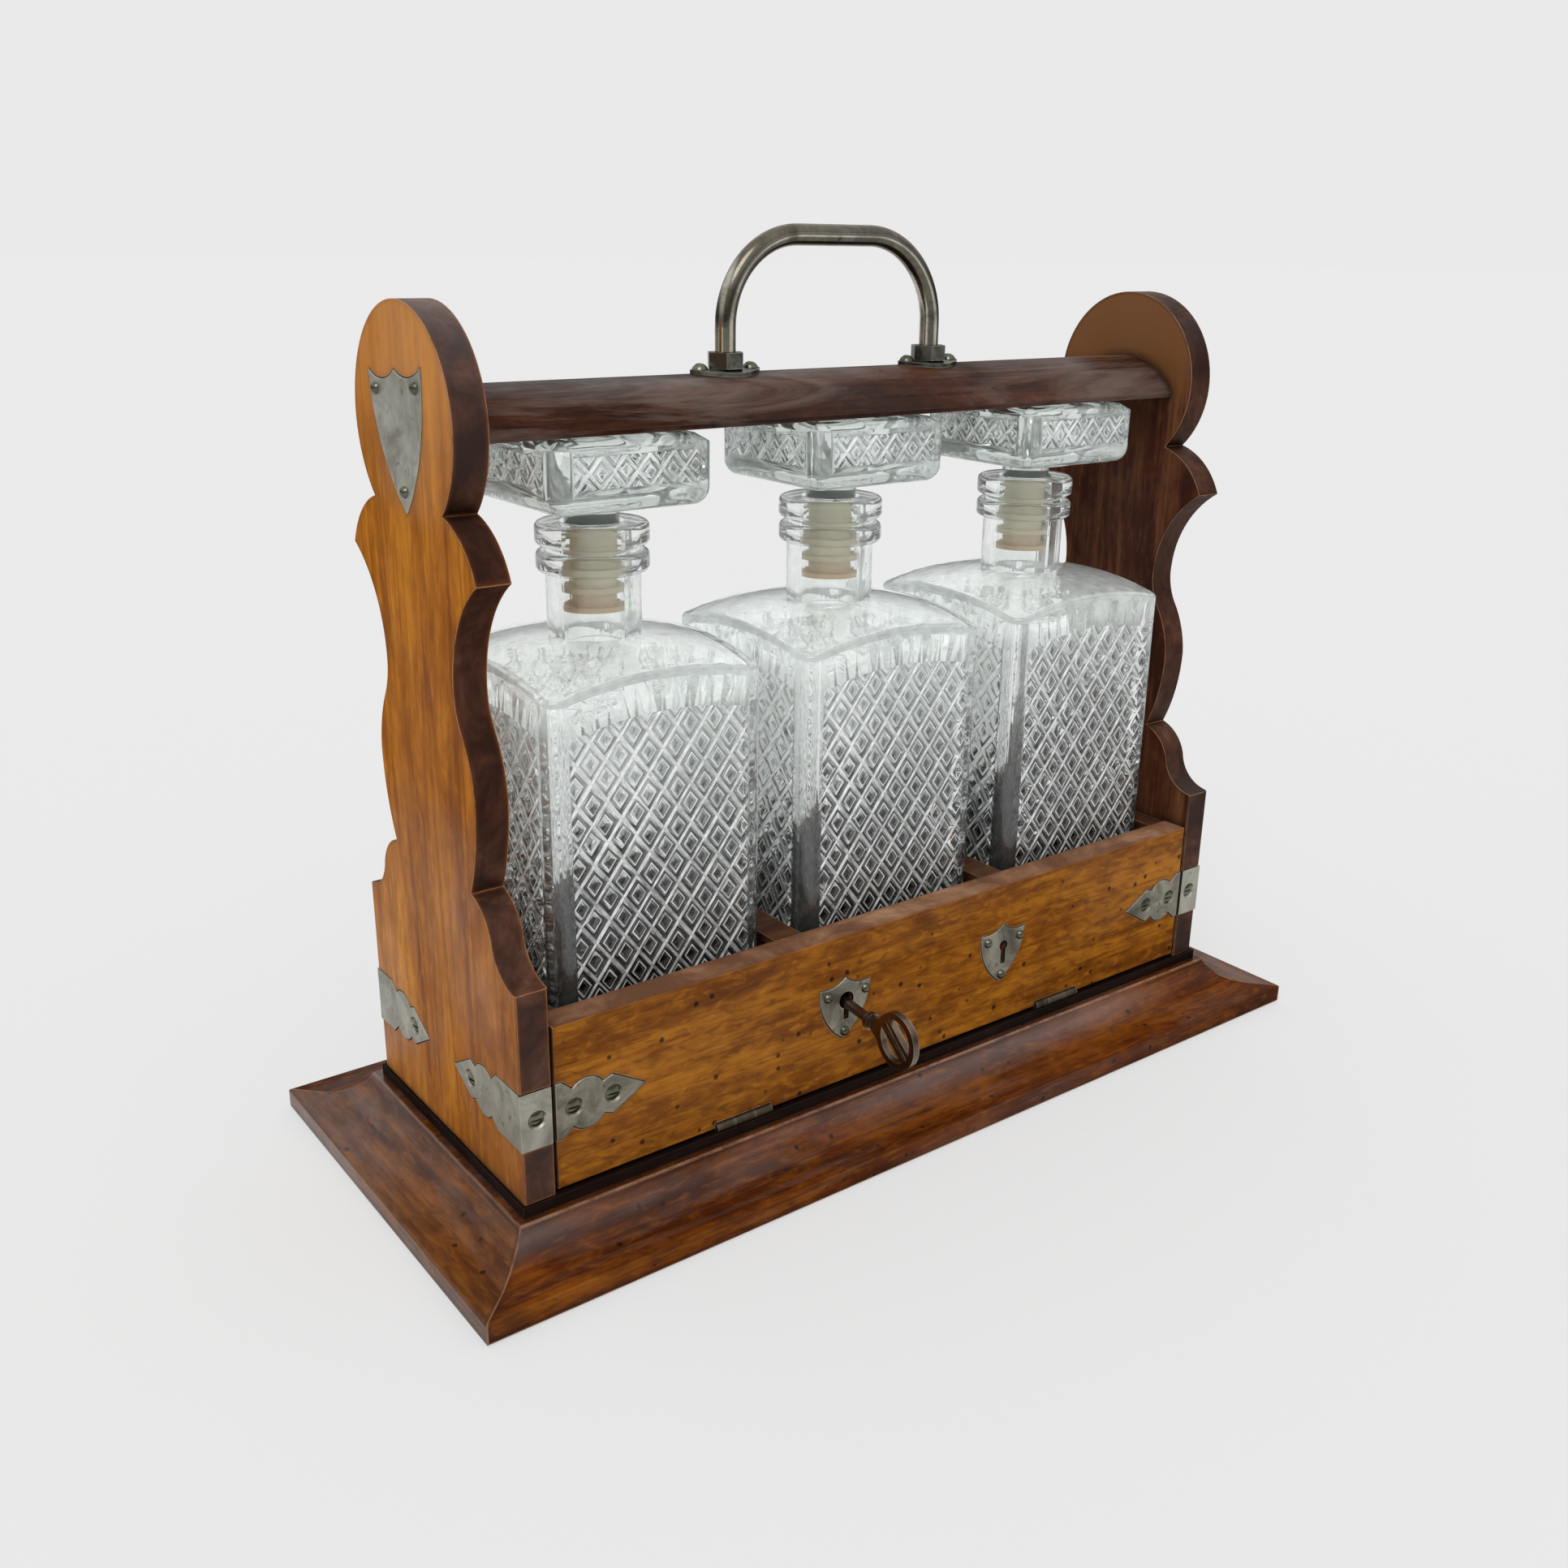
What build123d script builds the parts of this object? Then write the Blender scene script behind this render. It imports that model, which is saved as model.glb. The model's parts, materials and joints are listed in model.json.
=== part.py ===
from build123d import *
import os
from math import cos, radians, sin, sqrt

# Antique tantalus. Millimetres, +Z up, +X to the right, the front faces -Y.
# The origin is the middle of the base's underside.
os.makedirs("parts", exist_ok=True)

# ---------------------------------------------------------------- base
BASE_LENGTH = 364.0
BASE_DEPTH = 158.0
MOULDING_WIDTH = 23.2
MOULDING_TOP = 17.5
LIP_WIDTH = 8.4
LIP_TOP = 7.5
LIP_EASE = 0.8
BAIZE_THICKNESS = 0.6
BAIZE_INSET = 3.0
PLINTH_THICKNESS = 3.6
PLINTH_MARGIN = 1.2

# ---------------------------------------------------------------- carcass
CARCASS_LENGTH = 310.0
CARCASS_DEPTH = 104.4
SIDE_THICKNESS = 10.7
SIDE_ARRIS = 0.45
BACK_THICKNESS = 10.7
FLOOR_THICKNESS = 10.7
FLOOR_BAIZE_THICKNESS = 0.7
DIVIDER_THICKNESS = 11.0
PARTITION_DROP = 1.1
BAY_LENGTH = 83.4

# Outline of a side: rises from the plinth, and drops from the middle of its round head.
EDGE_RISE = 70.4
LEDGE_WIDTH = 2.2
LEDGE_RISE = 0.5
COVE_RUN = 11.6
COVE_RISE = 12.0
COVE_SAG = 2.8
OVOLO_RUN = 11.6
OVOLO_RISE = 11.0
OVOLO_SAG = 2.1
BELLY_SWELL = 6.4
BELLY_RISE = 30.0
BELLY_LOWER_SAG = 1.65
BELLY_UPPER_SAG = 1.35
TURN_HALF_WIDTH = 26.5
TURN_BELOW_WAIST = 13.5
TURN_SAG = 1.1
WAIST_HALF_WIDTH = 23.3
WAIST_BELOW_WING = 31.3
WAIST_SAG = 4.5
WING_HALF_WIDTH = 41.8
WING_BELOW_HEAD = 39.8
WING_SAG = 3.0
HEAD_RADIUS = 32.8
HEAD_NOTCH_ANGLE = 45.5

# ---------------------------------------------------------------- top bar and handle
BAR_WIDTH = 48.0
BAR_HEIGHT = 14.0
BAR_EDGE_HEIGHT = 1.6
BAR_ABOVE_STOPPERS = 1.0
HEAD_ABOVE_BAR_UNDERSIDE = 4.6
HANDLE_ROD_RADIUS = 3.35
HANDLE_SPAN = 86.0
HANDLE_OFFSET = 2.0
HANDLE_RISE = 40.4
HANDLE_BEND_RADIUS = 28.0
HANDLE_TENON_RADIUS = 2.5
HANDLE_TENON_LENGTH = 9.0
HANDLE_COLLAR_RADIUS = 5.4
HANDLE_COLLAR_HEIGHT = 5.0
HANDLE_PLATE_LENGTH = 27.0
HANDLE_PLATE_WIDTH = 15.0
HANDLE_PLATE_THICKNESS = 1.3
HANDLE_SCREW_SPACING = 19.4

# ---------------------------------------------------------------- metal mounts
PLATE_THICKNESS = 1.2
PLATE_PROUD = 0.3
PLATE_EDGE = 0.25
RECESS_GAP = 0.3
LEAF_LENGTH = 31.6
LEAF_HEIGHT = 19.4
LEAF_LEVEL = 28.2
LEAF_SHOULDER = 2.2
LEAF_NOTCH_IN = 5.8
LEAF_NOTCH_HALF = 6.5
LEAF_LOBE_LENGTH = 10.8
LEAF_LOBE_SAG = 2.7
LEAF_WAIST_HALF = 5.6
LEAF_HEAD_LENGTH = 3.3
LEAF_HEAD_HALF = 6.9
LEAF_FIRST_SCREW = 6.2
LEAF_SECOND_SCREW = 20.0
STRAP_INSET = 0.4
FRONT_BAND_LENGTH = 13.7
REAR_BAND_LENGTH = 9.3
PLAQUE_WIDTH = 35.6
PLAQUE_HEIGHT = 40.0
PLAQUE_SHOULDER_ABOVE_HEAD = 14.4
PLAQUE_TILT = 4.0
PLAQUE_SCALLOP_SAG = 2.6
PLAQUE_CHEEK_SAG = 4.6
PLAQUE_PEAK_DROP = 0.3
PLAQUE_PIN_SPACING = 27.0
PLAQUE_PIN_DROP = 5.5
PLAQUE_TIP_PIN_RISE = 6.2
ESCUTCHEON_WIDTH = 21.7
ESCUTCHEON_HEIGHT = 23.1
ESCUTCHEON_SCALLOP_SAG = 1.5
ESCUTCHEON_CHEEK_SAG = 3.1
ESCUTCHEON_PEAK_RISE = 2.9
ESCUTCHEON_ABOVE_KEY = 5.9
ESCUTCHEON_OFFSET = 0.5
ESCUTCHEON_TILT = 2.5
ESCUTCHEON_PIN_SPACING = 16.4
ESCUTCHEON_PIN_SHIFT = 0.8
ESCUTCHEON_PIN_DROP = 3.4
ESCUTCHEON_TIP_PIN_RISE = 2.6
ESCUTCHEON_PIN_LENGTH = 2.2
STRAP_SCREW_HEAD_RADIUS = 2.6
STRAP_SCREW_SINK_RADIUS = 3.2
STRAP_SCREW_SHANK_RADIUS = 1.2
STRAP_SCREW_LENGTH = 7.0
STRAP_SCREW_DOME = 0.7
SCREW_SLOT_WIDTH = 0.7
SCREW_SLOT_DEPTH = 0.6
PLATE_SCREW_HEAD_RADIUS = 2.6
PLATE_SCREW_DOME = 1.9
PLATE_SCREW_SHANK_RADIUS = 1.1
PLATE_SCREW_LENGTH = 7.0
PIN_HEAD_RADIUS = 1.8
PIN_HEAD_DOME = 1.4
PIN_SHANK_RADIUS = 0.6
PLAQUE_PIN_LENGTH = 5.0
HIDDEN_SCREW_HEAD_RADIUS = 1.9
HIDDEN_SCREW_SHANK_RADIUS = 0.8
HIDDEN_SCREW_LENGTH = 5.0

# ---------------------------------------------------------------- fall front
FRONT_THICKNESS = 10.7
FRONT_HEIGHT = 55.8
FRONT_END_CLEARANCE = 1.0
FRONT_BACK_CLEARANCE = 0.4
FRONT_EDGE_EASE = 0.6
HINGE_SPACING = 148.0
HINGE_LENGTH = 22.0
HINGE_KNUCKLE_RADIUS = 1.6
HINGE_PIN_RADIUS = 0.7
HINGE_LEAF_THICKNESS = 0.8
HINGE_LEAF_WIDTH = 8.0
HINGE_LEAF_GAP = 0.4
HINGE_FIXED_KNUCKLE = 8.0
HINGE_CLEARANCE = 0.3
RUNNING_CLEARANCE = 0.05

# ---------------------------------------------------------------- locks and key
LEFT_KEY_X = -31.0
RIGHT_KEY_X = 43.7
KEY_ABOVE_FRONT_BOTTOM = 31.4
KEY_DROOP = 5.6
KEY_PIVOT_RADIUS = 1.1
KEY_SHAFT_RADIUS = 1.8
KEY_BIT_RADIUS = 6.4
KEY_BIT_THICKNESS = 1.8
KEY_BIT_LENGTH = 3.2
KEY_END_CLEARANCE = 0.5
KEY_STANDOFF = 12.4
KEY_COLLAR_RADIUS = 3.0
KEY_COLLAR_LENGTH = 2.0
KEY_NECK_LENGTH = 3.4
KEY_BOW_LENGTH = 19.0
KEY_BOW_HEIGHT = 20.0
KEY_BOW_RIM = 2.4
KEY_BOW_THICKNESS = 2.4
KEY_BAR_WIDTH = 1.7
KEY_BAR_SPACING = 6.0
KEY_BAR_LEAN = 55.0
KEYHOLE_CLEARANCE = 0.3
WORN_KEYHOLE_RADIUS = 3.15
LOCK_PLATE_THICKNESS = 1.2
LOCK_CASE_DEPTH = 7.9
LOCK_WALL = 1.0
LOCK_FLANGE = 4.0
LOCK_CLEARANCE = 0.3
LOCK_FREE_SPACE = 0.9
PIVOT_CLEARANCE = 0.4
BOLT_THICKNESS = 2.0
BOLT_THROW = 5.5
BOLT_FINGER_HEIGHT = 3.0
BOLT_FINGER_LENGTH = 6.2
BOLT_BLOCK_LENGTH = 5.0
BOLT_STRIP_HEIGHT = 3.0
BOLT_STRIP_ABOVE_KEY = 5.3
BOLT_NOTCH_WIDTH = 9.5
BOLT_NOTCH_DEPTH = 1.3
BOLT_END_LENGTH = 2.5
BOLT_FINGER_ABOVE_KEY = 14.0
STAPLE_THICKNESS = 2.0
STAPLE_BAR = 2.0
STAPLE_EYE_CLEARANCE = 0.4
STAPLE_TIP_GAP = 0.6
STAPLE_PLATE_WIDTH = 9.0
STAPLE_PLATE_ABOVE = 2.6
STAPLE_PLATE_BELOW = 10.0
STAPLE_SCREW_INSET = 2.6
STAPLE_SCREW_SPACING = 4.4
STAPLE_SIDE_CLEARANCE = 0.5
STAPLE_PLATE_THICKNESS = 1.2
STAPLE_SINK_CLEARANCE = 1.6

# ---------------------------------------------------------------- decanters and stoppers
DECANTER_WIDTH = 78.0
DECANTER_SET_BACK = 1.3
DECANTER_CORNER_RADIUS = 6.0
DECANTER_WALL = 4.5
DECANTER_BASE_THICKNESS = 6.5
DECANTER_FOOT_EASE = 2.5
INNER_CORNER_RADIUS = 3.0
BODY_HEIGHT = 149.3
DOME_RADIUS = 146.0
DOME_EDGE_RADIUS = 1.6
NECK_RADIUS = 15.0
NECK_BORE_RADIUS = 10.0
NECK_HEIGHT = 18.8
LOWER_RING_RADIUS = 17.8
LOWER_RING_HEIGHT = 6.6
RING_GAP = 1.6
UPPER_RING_RADIUS = 17.9
UPPER_RING_HEIGHT = 7.2
RING_EASE = 1.8
STOPPER_WIDTH = 56.0
STOPPER_CORNER_RADIUS = 6.0
STOPPER_LIFT = 6.0
STOPPER_HEIGHT = 21.5
STOPPER_FOOT_RADIUS = 5.5
STOPPER_BEVEL_HEIGHT = 2.5
STOPPER_BEVEL_RUN = 4.5
STEM_RADIUS = 8.75
PEG_RADIUS = 6.0
SEAL_CORE_RADIUS = 7.3
SEAL_RIB_CLEARANCE = 0.3
SEAL_LENGTH = 25.5
SEAL_BELOW_RIM = 1.7
SEAL_RIB_HEIGHT = 1.6
SEAL_RIBS = 5

# ---------------------------------------------------------------- levels and places
base_top = MOULDING_TOP
carcass_bottom = base_top + PLINTH_THICKNESS
floor_top = carcass_bottom + FLOOR_THICKNESS
decanter_bottom = floor_top + FLOOR_BAIZE_THICKNESS
neck_bottom = decanter_bottom + BODY_HEIGHT
lower_ring_bottom = neck_bottom + NECK_HEIGHT
upper_ring_bottom = lower_ring_bottom + LOWER_RING_HEIGHT + RING_GAP
rim = upper_ring_bottom + UPPER_RING_HEIGHT
stopper_bottom = rim + STOPPER_LIFT
stopper_top = stopper_bottom + STOPPER_HEIGHT
bar_bottom = stopper_top + BAR_ABOVE_STOPPERS
bar_top = bar_bottom + BAR_HEIGHT
head_level = bar_bottom + HEAD_ABOVE_BAR_UNDERSIDE

side_outer = CARCASS_LENGTH / 2
side_inner = side_outer - SIDE_THICKNESS
front_face = -CARCASS_DEPTH / 2
back_face = CARCASS_DEPTH / 2
front_back = front_face + FRONT_THICKNESS
inside_front = front_back + FRONT_BACK_CLEARANCE
inside_back = back_face - BACK_THICKNESS
divider_x = (BAY_LENGTH + DIVIDER_THICKNESS) / 2
bay_pitch = BAY_LENGTH + DIVIDER_THICKNESS
liner_inner = bay_pitch + BAY_LENGTH / 2

hinge_z = carcass_bottom + HINGE_KNUCKLE_RADIUS
front_bottom = carcass_bottom + HINGE_LEAF_THICKNESS + HINGE_LEAF_GAP
front_top = front_bottom + FRONT_HEIGHT
partition_top = front_top - PARTITION_DROP
leaf_z = carcass_bottom + LEAF_LEVEL
key_z = front_bottom + KEY_ABOVE_FRONT_BOTTOM
plate_outer_y = front_face - PLATE_PROUD
plate_outer_x = side_outer + PLATE_PROUD


def front_plane(x, z, y=front_face):
    """A plane that faces -Y, its own x to the right and its own y up."""
    return Plane(origin=(x, y, z), x_dir=(1, 0, 0), z_dir=(0, -1, 0))


def rear_plane(x, z, y=back_face):
    """A plane that faces +Y, its own y up."""
    return Plane(origin=(x, y, z), x_dir=(-1, 0, 0), z_dir=(0, 1, 0))


def end_plane(hand, y, z, x=side_outer):
    """A plane that faces out of the left (-1) or right (1) end, its own y up."""
    return Plane(origin=(hand * x, y, z), x_dir=(0, hand, 0), z_dir=(hand, 0, 0))


def flipped(plane):
    """The same plane with its own x and y turned half round."""
    return Plane(origin=plane.origin, x_dir=-plane.x_dir, z_dir=plane.z_dir)


def profile_plane(plane):
    """The plane through a plane's normal: its own x as before, its own y along the normal."""
    return Plane(origin=plane.origin, x_dir=plane.x_dir, z_dir=-plane.y_dir)


def save(builder, name):
    builder.part.label = name
    export_step(builder.part, f"parts/{name}.step")


def block(x0, x1, y0, y1, z0, z1):
    """A plain board between two corners."""
    with BuildPart() as board:
        with BuildSketch(Plane.XY.offset(z0)):
            with Locations(((x0 + x1) / 2, (y0 + y1) / 2)):
                Rectangle(x1 - x0, y1 - y0)
        extrude(amount=z1 - z0)
    return board


# ---------------------------------------------------------------- fasteners
def countersunk_screw(plane, head_radius, shank_radius, length, dome, sink=0.0):
    """A slotted screw seen end-on at its plane. Its head rises by dome above that plane."""
    head_depth = head_radius - shank_radius
    with BuildPart() as screw:
        with BuildSketch(profile_plane(plane)):
            with BuildLine():
                Polyline(
                    (0, dome - sink),
                    (0, -length),
                    (shank_radius, -length),
                    (shank_radius, -sink - head_depth),
                    (head_radius, -sink),
                )
                TangentArc((0, dome - sink), (head_radius, -sink), tangent=(1, 0))
            make_face()
        revolve(axis=Axis(plane.origin, plane.z_dir))
        with BuildSketch(plane.offset(dome - sink - SCREW_SLOT_DEPTH)):
            Rectangle(2 * head_radius, SCREW_SLOT_WIDTH)
        extrude(amount=2 * dome + SCREW_SLOT_DEPTH, mode=Mode.SUBTRACT)
    return screw.part


def round_screw(plane, head_radius, shank_radius, length, dome):
    """A slotted round-headed screw whose head stands on its plane."""
    with BuildPart() as screw:
        with BuildSketch(profile_plane(plane)):
            with BuildLine():
                Polyline(
                    (0, dome),
                    (0, -length),
                    (shank_radius, -length),
                    (shank_radius, 0),
                    (head_radius, 0),
                )
                TangentArc((0, dome), (head_radius, 0), tangent=(1, 0))
            make_face()
        revolve(axis=Axis(plane.origin, plane.z_dir))
        with BuildSketch(plane.offset(dome - SCREW_SLOT_DEPTH)):
            Rectangle(2 * head_radius, SCREW_SLOT_WIDTH)
        extrude(amount=2 * SCREW_SLOT_DEPTH, mode=Mode.SUBTRACT)
    return screw.part


def pin(plane, length):
    """A domed pin whose head stands on its plane."""
    with BuildPart() as nail:
        with BuildSketch(profile_plane(plane)):
            with BuildLine():
                Polyline(
                    (0, PIN_HEAD_DOME),
                    (0, -length),
                    (PIN_SHANK_RADIUS, -length),
                    (PIN_SHANK_RADIUS, 0),
                    (PIN_HEAD_RADIUS, 0),
                )
                TangentArc((0, PIN_HEAD_DOME), (PIN_HEAD_RADIUS, 0), tangent=(1, 0))
            make_face()
        revolve(axis=Axis(plane.origin, plane.z_dir))
    return nail.part


def strap_screw(plane):
    return countersunk_screw(
        plane,
        STRAP_SCREW_HEAD_RADIUS,
        STRAP_SCREW_SHANK_RADIUS,
        STRAP_SCREW_LENGTH,
        STRAP_SCREW_DOME,
        STRAP_SCREW_SINK_RADIUS - STRAP_SCREW_HEAD_RADIUS,
    )


def hidden_screw(plane):
    """A small flat-headed screw of the hinges, lock cases and staples."""
    head_depth = HIDDEN_SCREW_HEAD_RADIUS - HIDDEN_SCREW_SHANK_RADIUS
    with BuildPart() as screw:
        with BuildSketch(profile_plane(plane)):
            with BuildLine():
                Polyline(
                    (0, 0),
                    (0, -HIDDEN_SCREW_LENGTH),
                    (HIDDEN_SCREW_SHANK_RADIUS, -HIDDEN_SCREW_LENGTH),
                    (HIDDEN_SCREW_SHANK_RADIUS, -head_depth),
                    (HIDDEN_SCREW_HEAD_RADIUS, 0),
                    close=True,
                )
            make_face()
        revolve(axis=Axis(plane.origin, plane.z_dir))
    return screw.part


def group(solids):
    """Several like fasteners as one node."""
    with BuildPart() as fasteners:
        for solid in solids:
            add(solid)
    return fasteners


def drill(planes, radius, length):
    """Cut the pilot holes of fasteners into the piece being made."""
    for plane in planes:
        with Locations(plane.location):
            Hole(radius=radius, depth=length)


def sink_strap_screws(planes):
    """Cut countersunk holes of the strap screws into the piece being made."""
    for plane in planes:
        with Locations(plane.location):
            CounterSinkHole(STRAP_SCREW_SHANK_RADIUS, STRAP_SCREW_SINK_RADIUS, STRAP_SCREW_LENGTH, 90)


def sink_hidden_screws(planes):
    """Cut countersunk holes of the small screws into the piece being made."""
    for plane in planes:
        with Locations(plane.location):
            CounterSinkHole(
                HIDDEN_SCREW_SHANK_RADIUS, HIDDEN_SCREW_HEAD_RADIUS, HIDDEN_SCREW_LENGTH, 90
            )


# ---------------------------------------------------------------- outlines of the flat mounts
def leaf_outline(band=0.0):
    """A strap's leaf along its own x, after a plain band that starts at x = 0."""
    notch = band + LEAF_NOTCH_IN
    waist = notch + LEAF_LOBE_LENGTH
    head = waist + LEAF_HEAD_LENGTH
    with BuildSketch() as outline:
        with BuildLine():
            Polyline(
                (0, 0),
                (0, LEAF_HEIGHT / 2),
                (band + LEAF_SHOULDER, LEAF_HEIGHT / 2),
                (notch, LEAF_NOTCH_HALF),
            )
            SagittaArc((notch, LEAF_NOTCH_HALF), (waist, LEAF_WAIST_HALF), LEAF_LOBE_SAG)
            Polyline(
                (waist, LEAF_WAIST_HALF),
                (head, LEAF_HEAD_HALF),
                (band + LEAF_LENGTH, 0),
                (0, 0),
            )
        make_face()
        mirror(about=Plane.XZ)
    return outline.sketch


def shield_outline(width, height, scallop, cheek, peak):
    """A shield whose origin is midway between its upper corners, its point below."""
    half = width / 2
    with BuildSketch() as outline:
        with BuildLine():
            SagittaArc((0, peak), (half, 0), -scallop)
            SagittaArc((half, 0), (0, peak - height), cheek)
            Line((0, peak - height), (0, peak))
        make_face()
        mirror(about=Plane.YZ)
    return outline.sketch


def flat_plate(plane, outline, proud=PLATE_PROUD):
    """A flat plate let into the surface at a plane, and a little proud of it."""
    with BuildPart() as plate:
        with BuildSketch(plane.offset(proud - PLATE_THICKNESS)):
            add(outline)
        extrude(amount=PLATE_THICKNESS)
        outer = plate.faces().sort_by(Axis(plane.origin, plane.z_dir))[-1]
        chamfer(outer.edges(), PLATE_EDGE)
    return plate


def recess(plane, outline):
    """The pocket for a flat plate, a little larger than the plate all round."""
    with BuildPart() as pocket:
        with BuildSketch(plane.offset(PLATE_PROUD - PLATE_THICKNESS)):
            add(outline)
            offset(amount=RECESS_GAP)
        extrude(amount=PLATE_THICKNESS)
    return pocket


# ---------------------------------------------------------------- base
def moulding(run, reach, turn):
    """One mitred length of the base's cove moulding, turned about Z from the front."""
    frame = Plane.XY.rotated((0, 0, turn))
    edge = Plane(
        origin=frame.from_local_coords((0, -reach / 2, 0)), x_dir=frame.y_dir, z_dir=frame.x_dir
    )
    with BuildPart() as length:
        with BuildSketch(edge):
            with BuildLine():
                Polyline((MOULDING_WIDTH, base_top), (MOULDING_WIDTH, BAIZE_THICKNESS))
                Line((MOULDING_WIDTH, BAIZE_THICKNESS), (0, BAIZE_THICKNESS))
                Line((0, BAIZE_THICKNESS), (0, LIP_TOP - LIP_EASE))
                TangentArc((0, LIP_TOP - LIP_EASE), (LIP_EASE, LIP_TOP), tangent=(0, 1))
                Line((LIP_EASE, LIP_TOP), (LIP_WIDTH, LIP_TOP))
                TangentArc((LIP_WIDTH, LIP_TOP), (MOULDING_WIDTH, base_top), tangent=(1, 0))
            make_face()
        extrude(amount=run / 2, both=True)
        with BuildSketch(frame):
            with BuildLine():
                Polyline(
                    (-run / 2, -reach / 2),
                    (run / 2, -reach / 2),
                    (run / 2 - MOULDING_WIDTH, MOULDING_WIDTH - reach / 2),
                    (MOULDING_WIDTH - run / 2, MOULDING_WIDTH - reach / 2),
                    close=True,
                )
            make_face()
        extrude(amount=base_top, mode=Mode.INTERSECT)
    return length


def hinge_screw_places(z, hand):
    """Planes of the screws in the hinge leaves at a level, facing up (1) or down (-1)."""
    across = hinge_leaf_front + (HINGE_LEAF_WIDTH - HINGE_KNUCKLE_RADIUS) / 2
    return [
        Plane(
            origin=(hinge * HINGE_SPACING / 2 + side * HINGE_LENGTH / 4, across, z),
            z_dir=(0, 0, hand),
        )
        for hinge in (-1, 1)
        for side in (-1, 1)
    ]


hinge_leaf_front = front_face + HINGE_KNUCKLE_RADIUS + HINGE_CLEARANCE
hinge_leaf_back = front_face + HINGE_LEAF_WIDTH
fixed_leaf_screws = hinge_screw_places(carcass_bottom + HINGE_LEAF_THICKNESS, 1)
moving_leaf_screws = hinge_screw_places(front_bottom, -1)

for moulding_name, moulding_run, moulding_reach, moulding_turn in (
    ("base_moulding_front", BASE_LENGTH, BASE_DEPTH, 0),
    ("base_moulding_right", BASE_DEPTH, BASE_LENGTH, 90),
    ("base_moulding_back", BASE_LENGTH, BASE_DEPTH, 180),
    ("base_moulding_left", BASE_DEPTH, BASE_LENGTH, 270),
):
    save(moulding(moulding_run, moulding_reach, moulding_turn), moulding_name)

core_x = BASE_LENGTH / 2 - MOULDING_WIDTH
core_y = BASE_DEPTH / 2 - MOULDING_WIDTH
with BuildPart() as base_core_board:
    add(block(-core_x, core_x, -core_y, core_y, BAIZE_THICKNESS, base_top).part)
    sink_hidden_screws(fixed_leaf_screws)
save(base_core_board, "base_core_board")

baize_x = BASE_LENGTH / 2 - BAIZE_INSET
baize_y = BASE_DEPTH / 2 - BAIZE_INSET
base_baize = block(-baize_x, baize_x, -baize_y, baize_y, 0, BAIZE_THICKNESS)
save(base_baize, "base_baize")

plinth_x = side_outer + PLINTH_MARGIN
plinth_y = back_face + PLINTH_MARGIN
with BuildPart() as plinth_board:
    add(block(-plinth_x, plinth_x, -plinth_y, plinth_y, base_top, carcass_bottom).part)
    sink_hidden_screws(fixed_leaf_screws)
save(plinth_board, "plinth_board")


# ---------------------------------------------------------------- corner straps
def strap_leaf(hand, end):
    """The plane of a strap's leaf, its own x inward from the corner, and the leaf's outline."""
    outer = end_plane(hand, end * (back_face + PLATE_PROUD), leaf_z)
    band = FRONT_BAND_LENGTH if end < 0 else REAR_BAND_LENGTH
    return outer if hand == -end else flipped(outer), leaf_outline(band)


def strap_return(hand, end, inner_x, half):
    """The part of a strap, or of its recess, that lies on the board's edge."""
    near_x, far_x = sorted((hand * inner_x, hand * plate_outer_x))
    outer_y = back_face + PLATE_PROUD
    near_y, far_y = sorted((end * (outer_y - PLATE_THICKNESS), end * outer_y))
    return block(near_x, far_x, near_y, far_y, leaf_z - half, leaf_z + half)


def strap_blank(hand, end):
    """A strap round one corner of a side, without holes. end is -1 in front, 1 behind."""
    with BuildPart() as strap:
        add(flat_plate(*strap_leaf(hand, end)).part)
        add(strap_return(hand, end, side_inner + STRAP_INSET, LEAF_HEIGHT / 2).part)
    return strap


def strap_recess(hand, end):
    """The pocket for a strap. It runs off the board at the board's inner face."""
    with BuildPart() as pocket:
        add(recess(*strap_leaf(hand, end)).part)
        add(strap_return(hand, end, side_inner, LEAF_HEIGHT / 2 + RECESS_GAP).part)
    return pocket


def strap_screw_places(hand, end):
    """The strap's screw in the board's edge and the one in its leaf."""
    band = FRONT_BAND_LENGTH if end < 0 else REAR_BAND_LENGTH
    edge_x = hand * (side_inner + side_outer) / 2
    leaf_y = end * (back_face + PLATE_PROUD - band - LEAF_SECOND_SCREW)
    edge_y = end * (back_face + PLATE_PROUD)
    edge = front_plane(edge_x, leaf_z, edge_y) if end < 0 else rear_plane(edge_x, leaf_z, edge_y)
    return [edge, end_plane(hand, leaf_y, leaf_z, plate_outer_x)]


hands = {"left": -1, "right": 1}
ends = {"front": -1, "rear": 1}
strap_blanks = {
    (side_name, end_name): strap_blank(hand, end)
    for side_name, hand in hands.items()
    for end_name, end in ends.items()
}
strap_places = {
    (side_name, end_name): strap_screw_places(hand, end)
    for side_name, hand in hands.items()
    for end_name, end in ends.items()
}
for (side_name, end_name), blank in strap_blanks.items():
    with BuildPart() as corner_strap:
        add(blank.part)
        sink_strap_screws(strap_places[side_name, end_name])
    save(corner_strap, f"corner_strap_{end_name}_{side_name}")
corner_strap_screws = group(
    strap_screw(place) for places in strap_places.values() for place in places
)
save(corner_strap_screws, "corner_strap_screws")


# ---------------------------------------------------------------- shield plaques
def plaque_plane(hand, out=0.0):
    """The plaque's plane, its origin midway between the upper corners. It leans to the rear."""
    lean = radians(PLAQUE_TILT)
    length = PLAQUE_PEAK_DROP + PLAQUE_HEIGHT
    tip_z = head_level + PLAQUE_SHOULDER_ABOVE_HEAD - length
    return Plane(
        origin=(hand * (side_outer + out), length * sin(lean), tip_z + length * cos(lean)),
        x_dir=(0, hand * cos(lean), -hand * sin(lean)),
        z_dir=(hand, 0, 0),
    )


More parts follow.
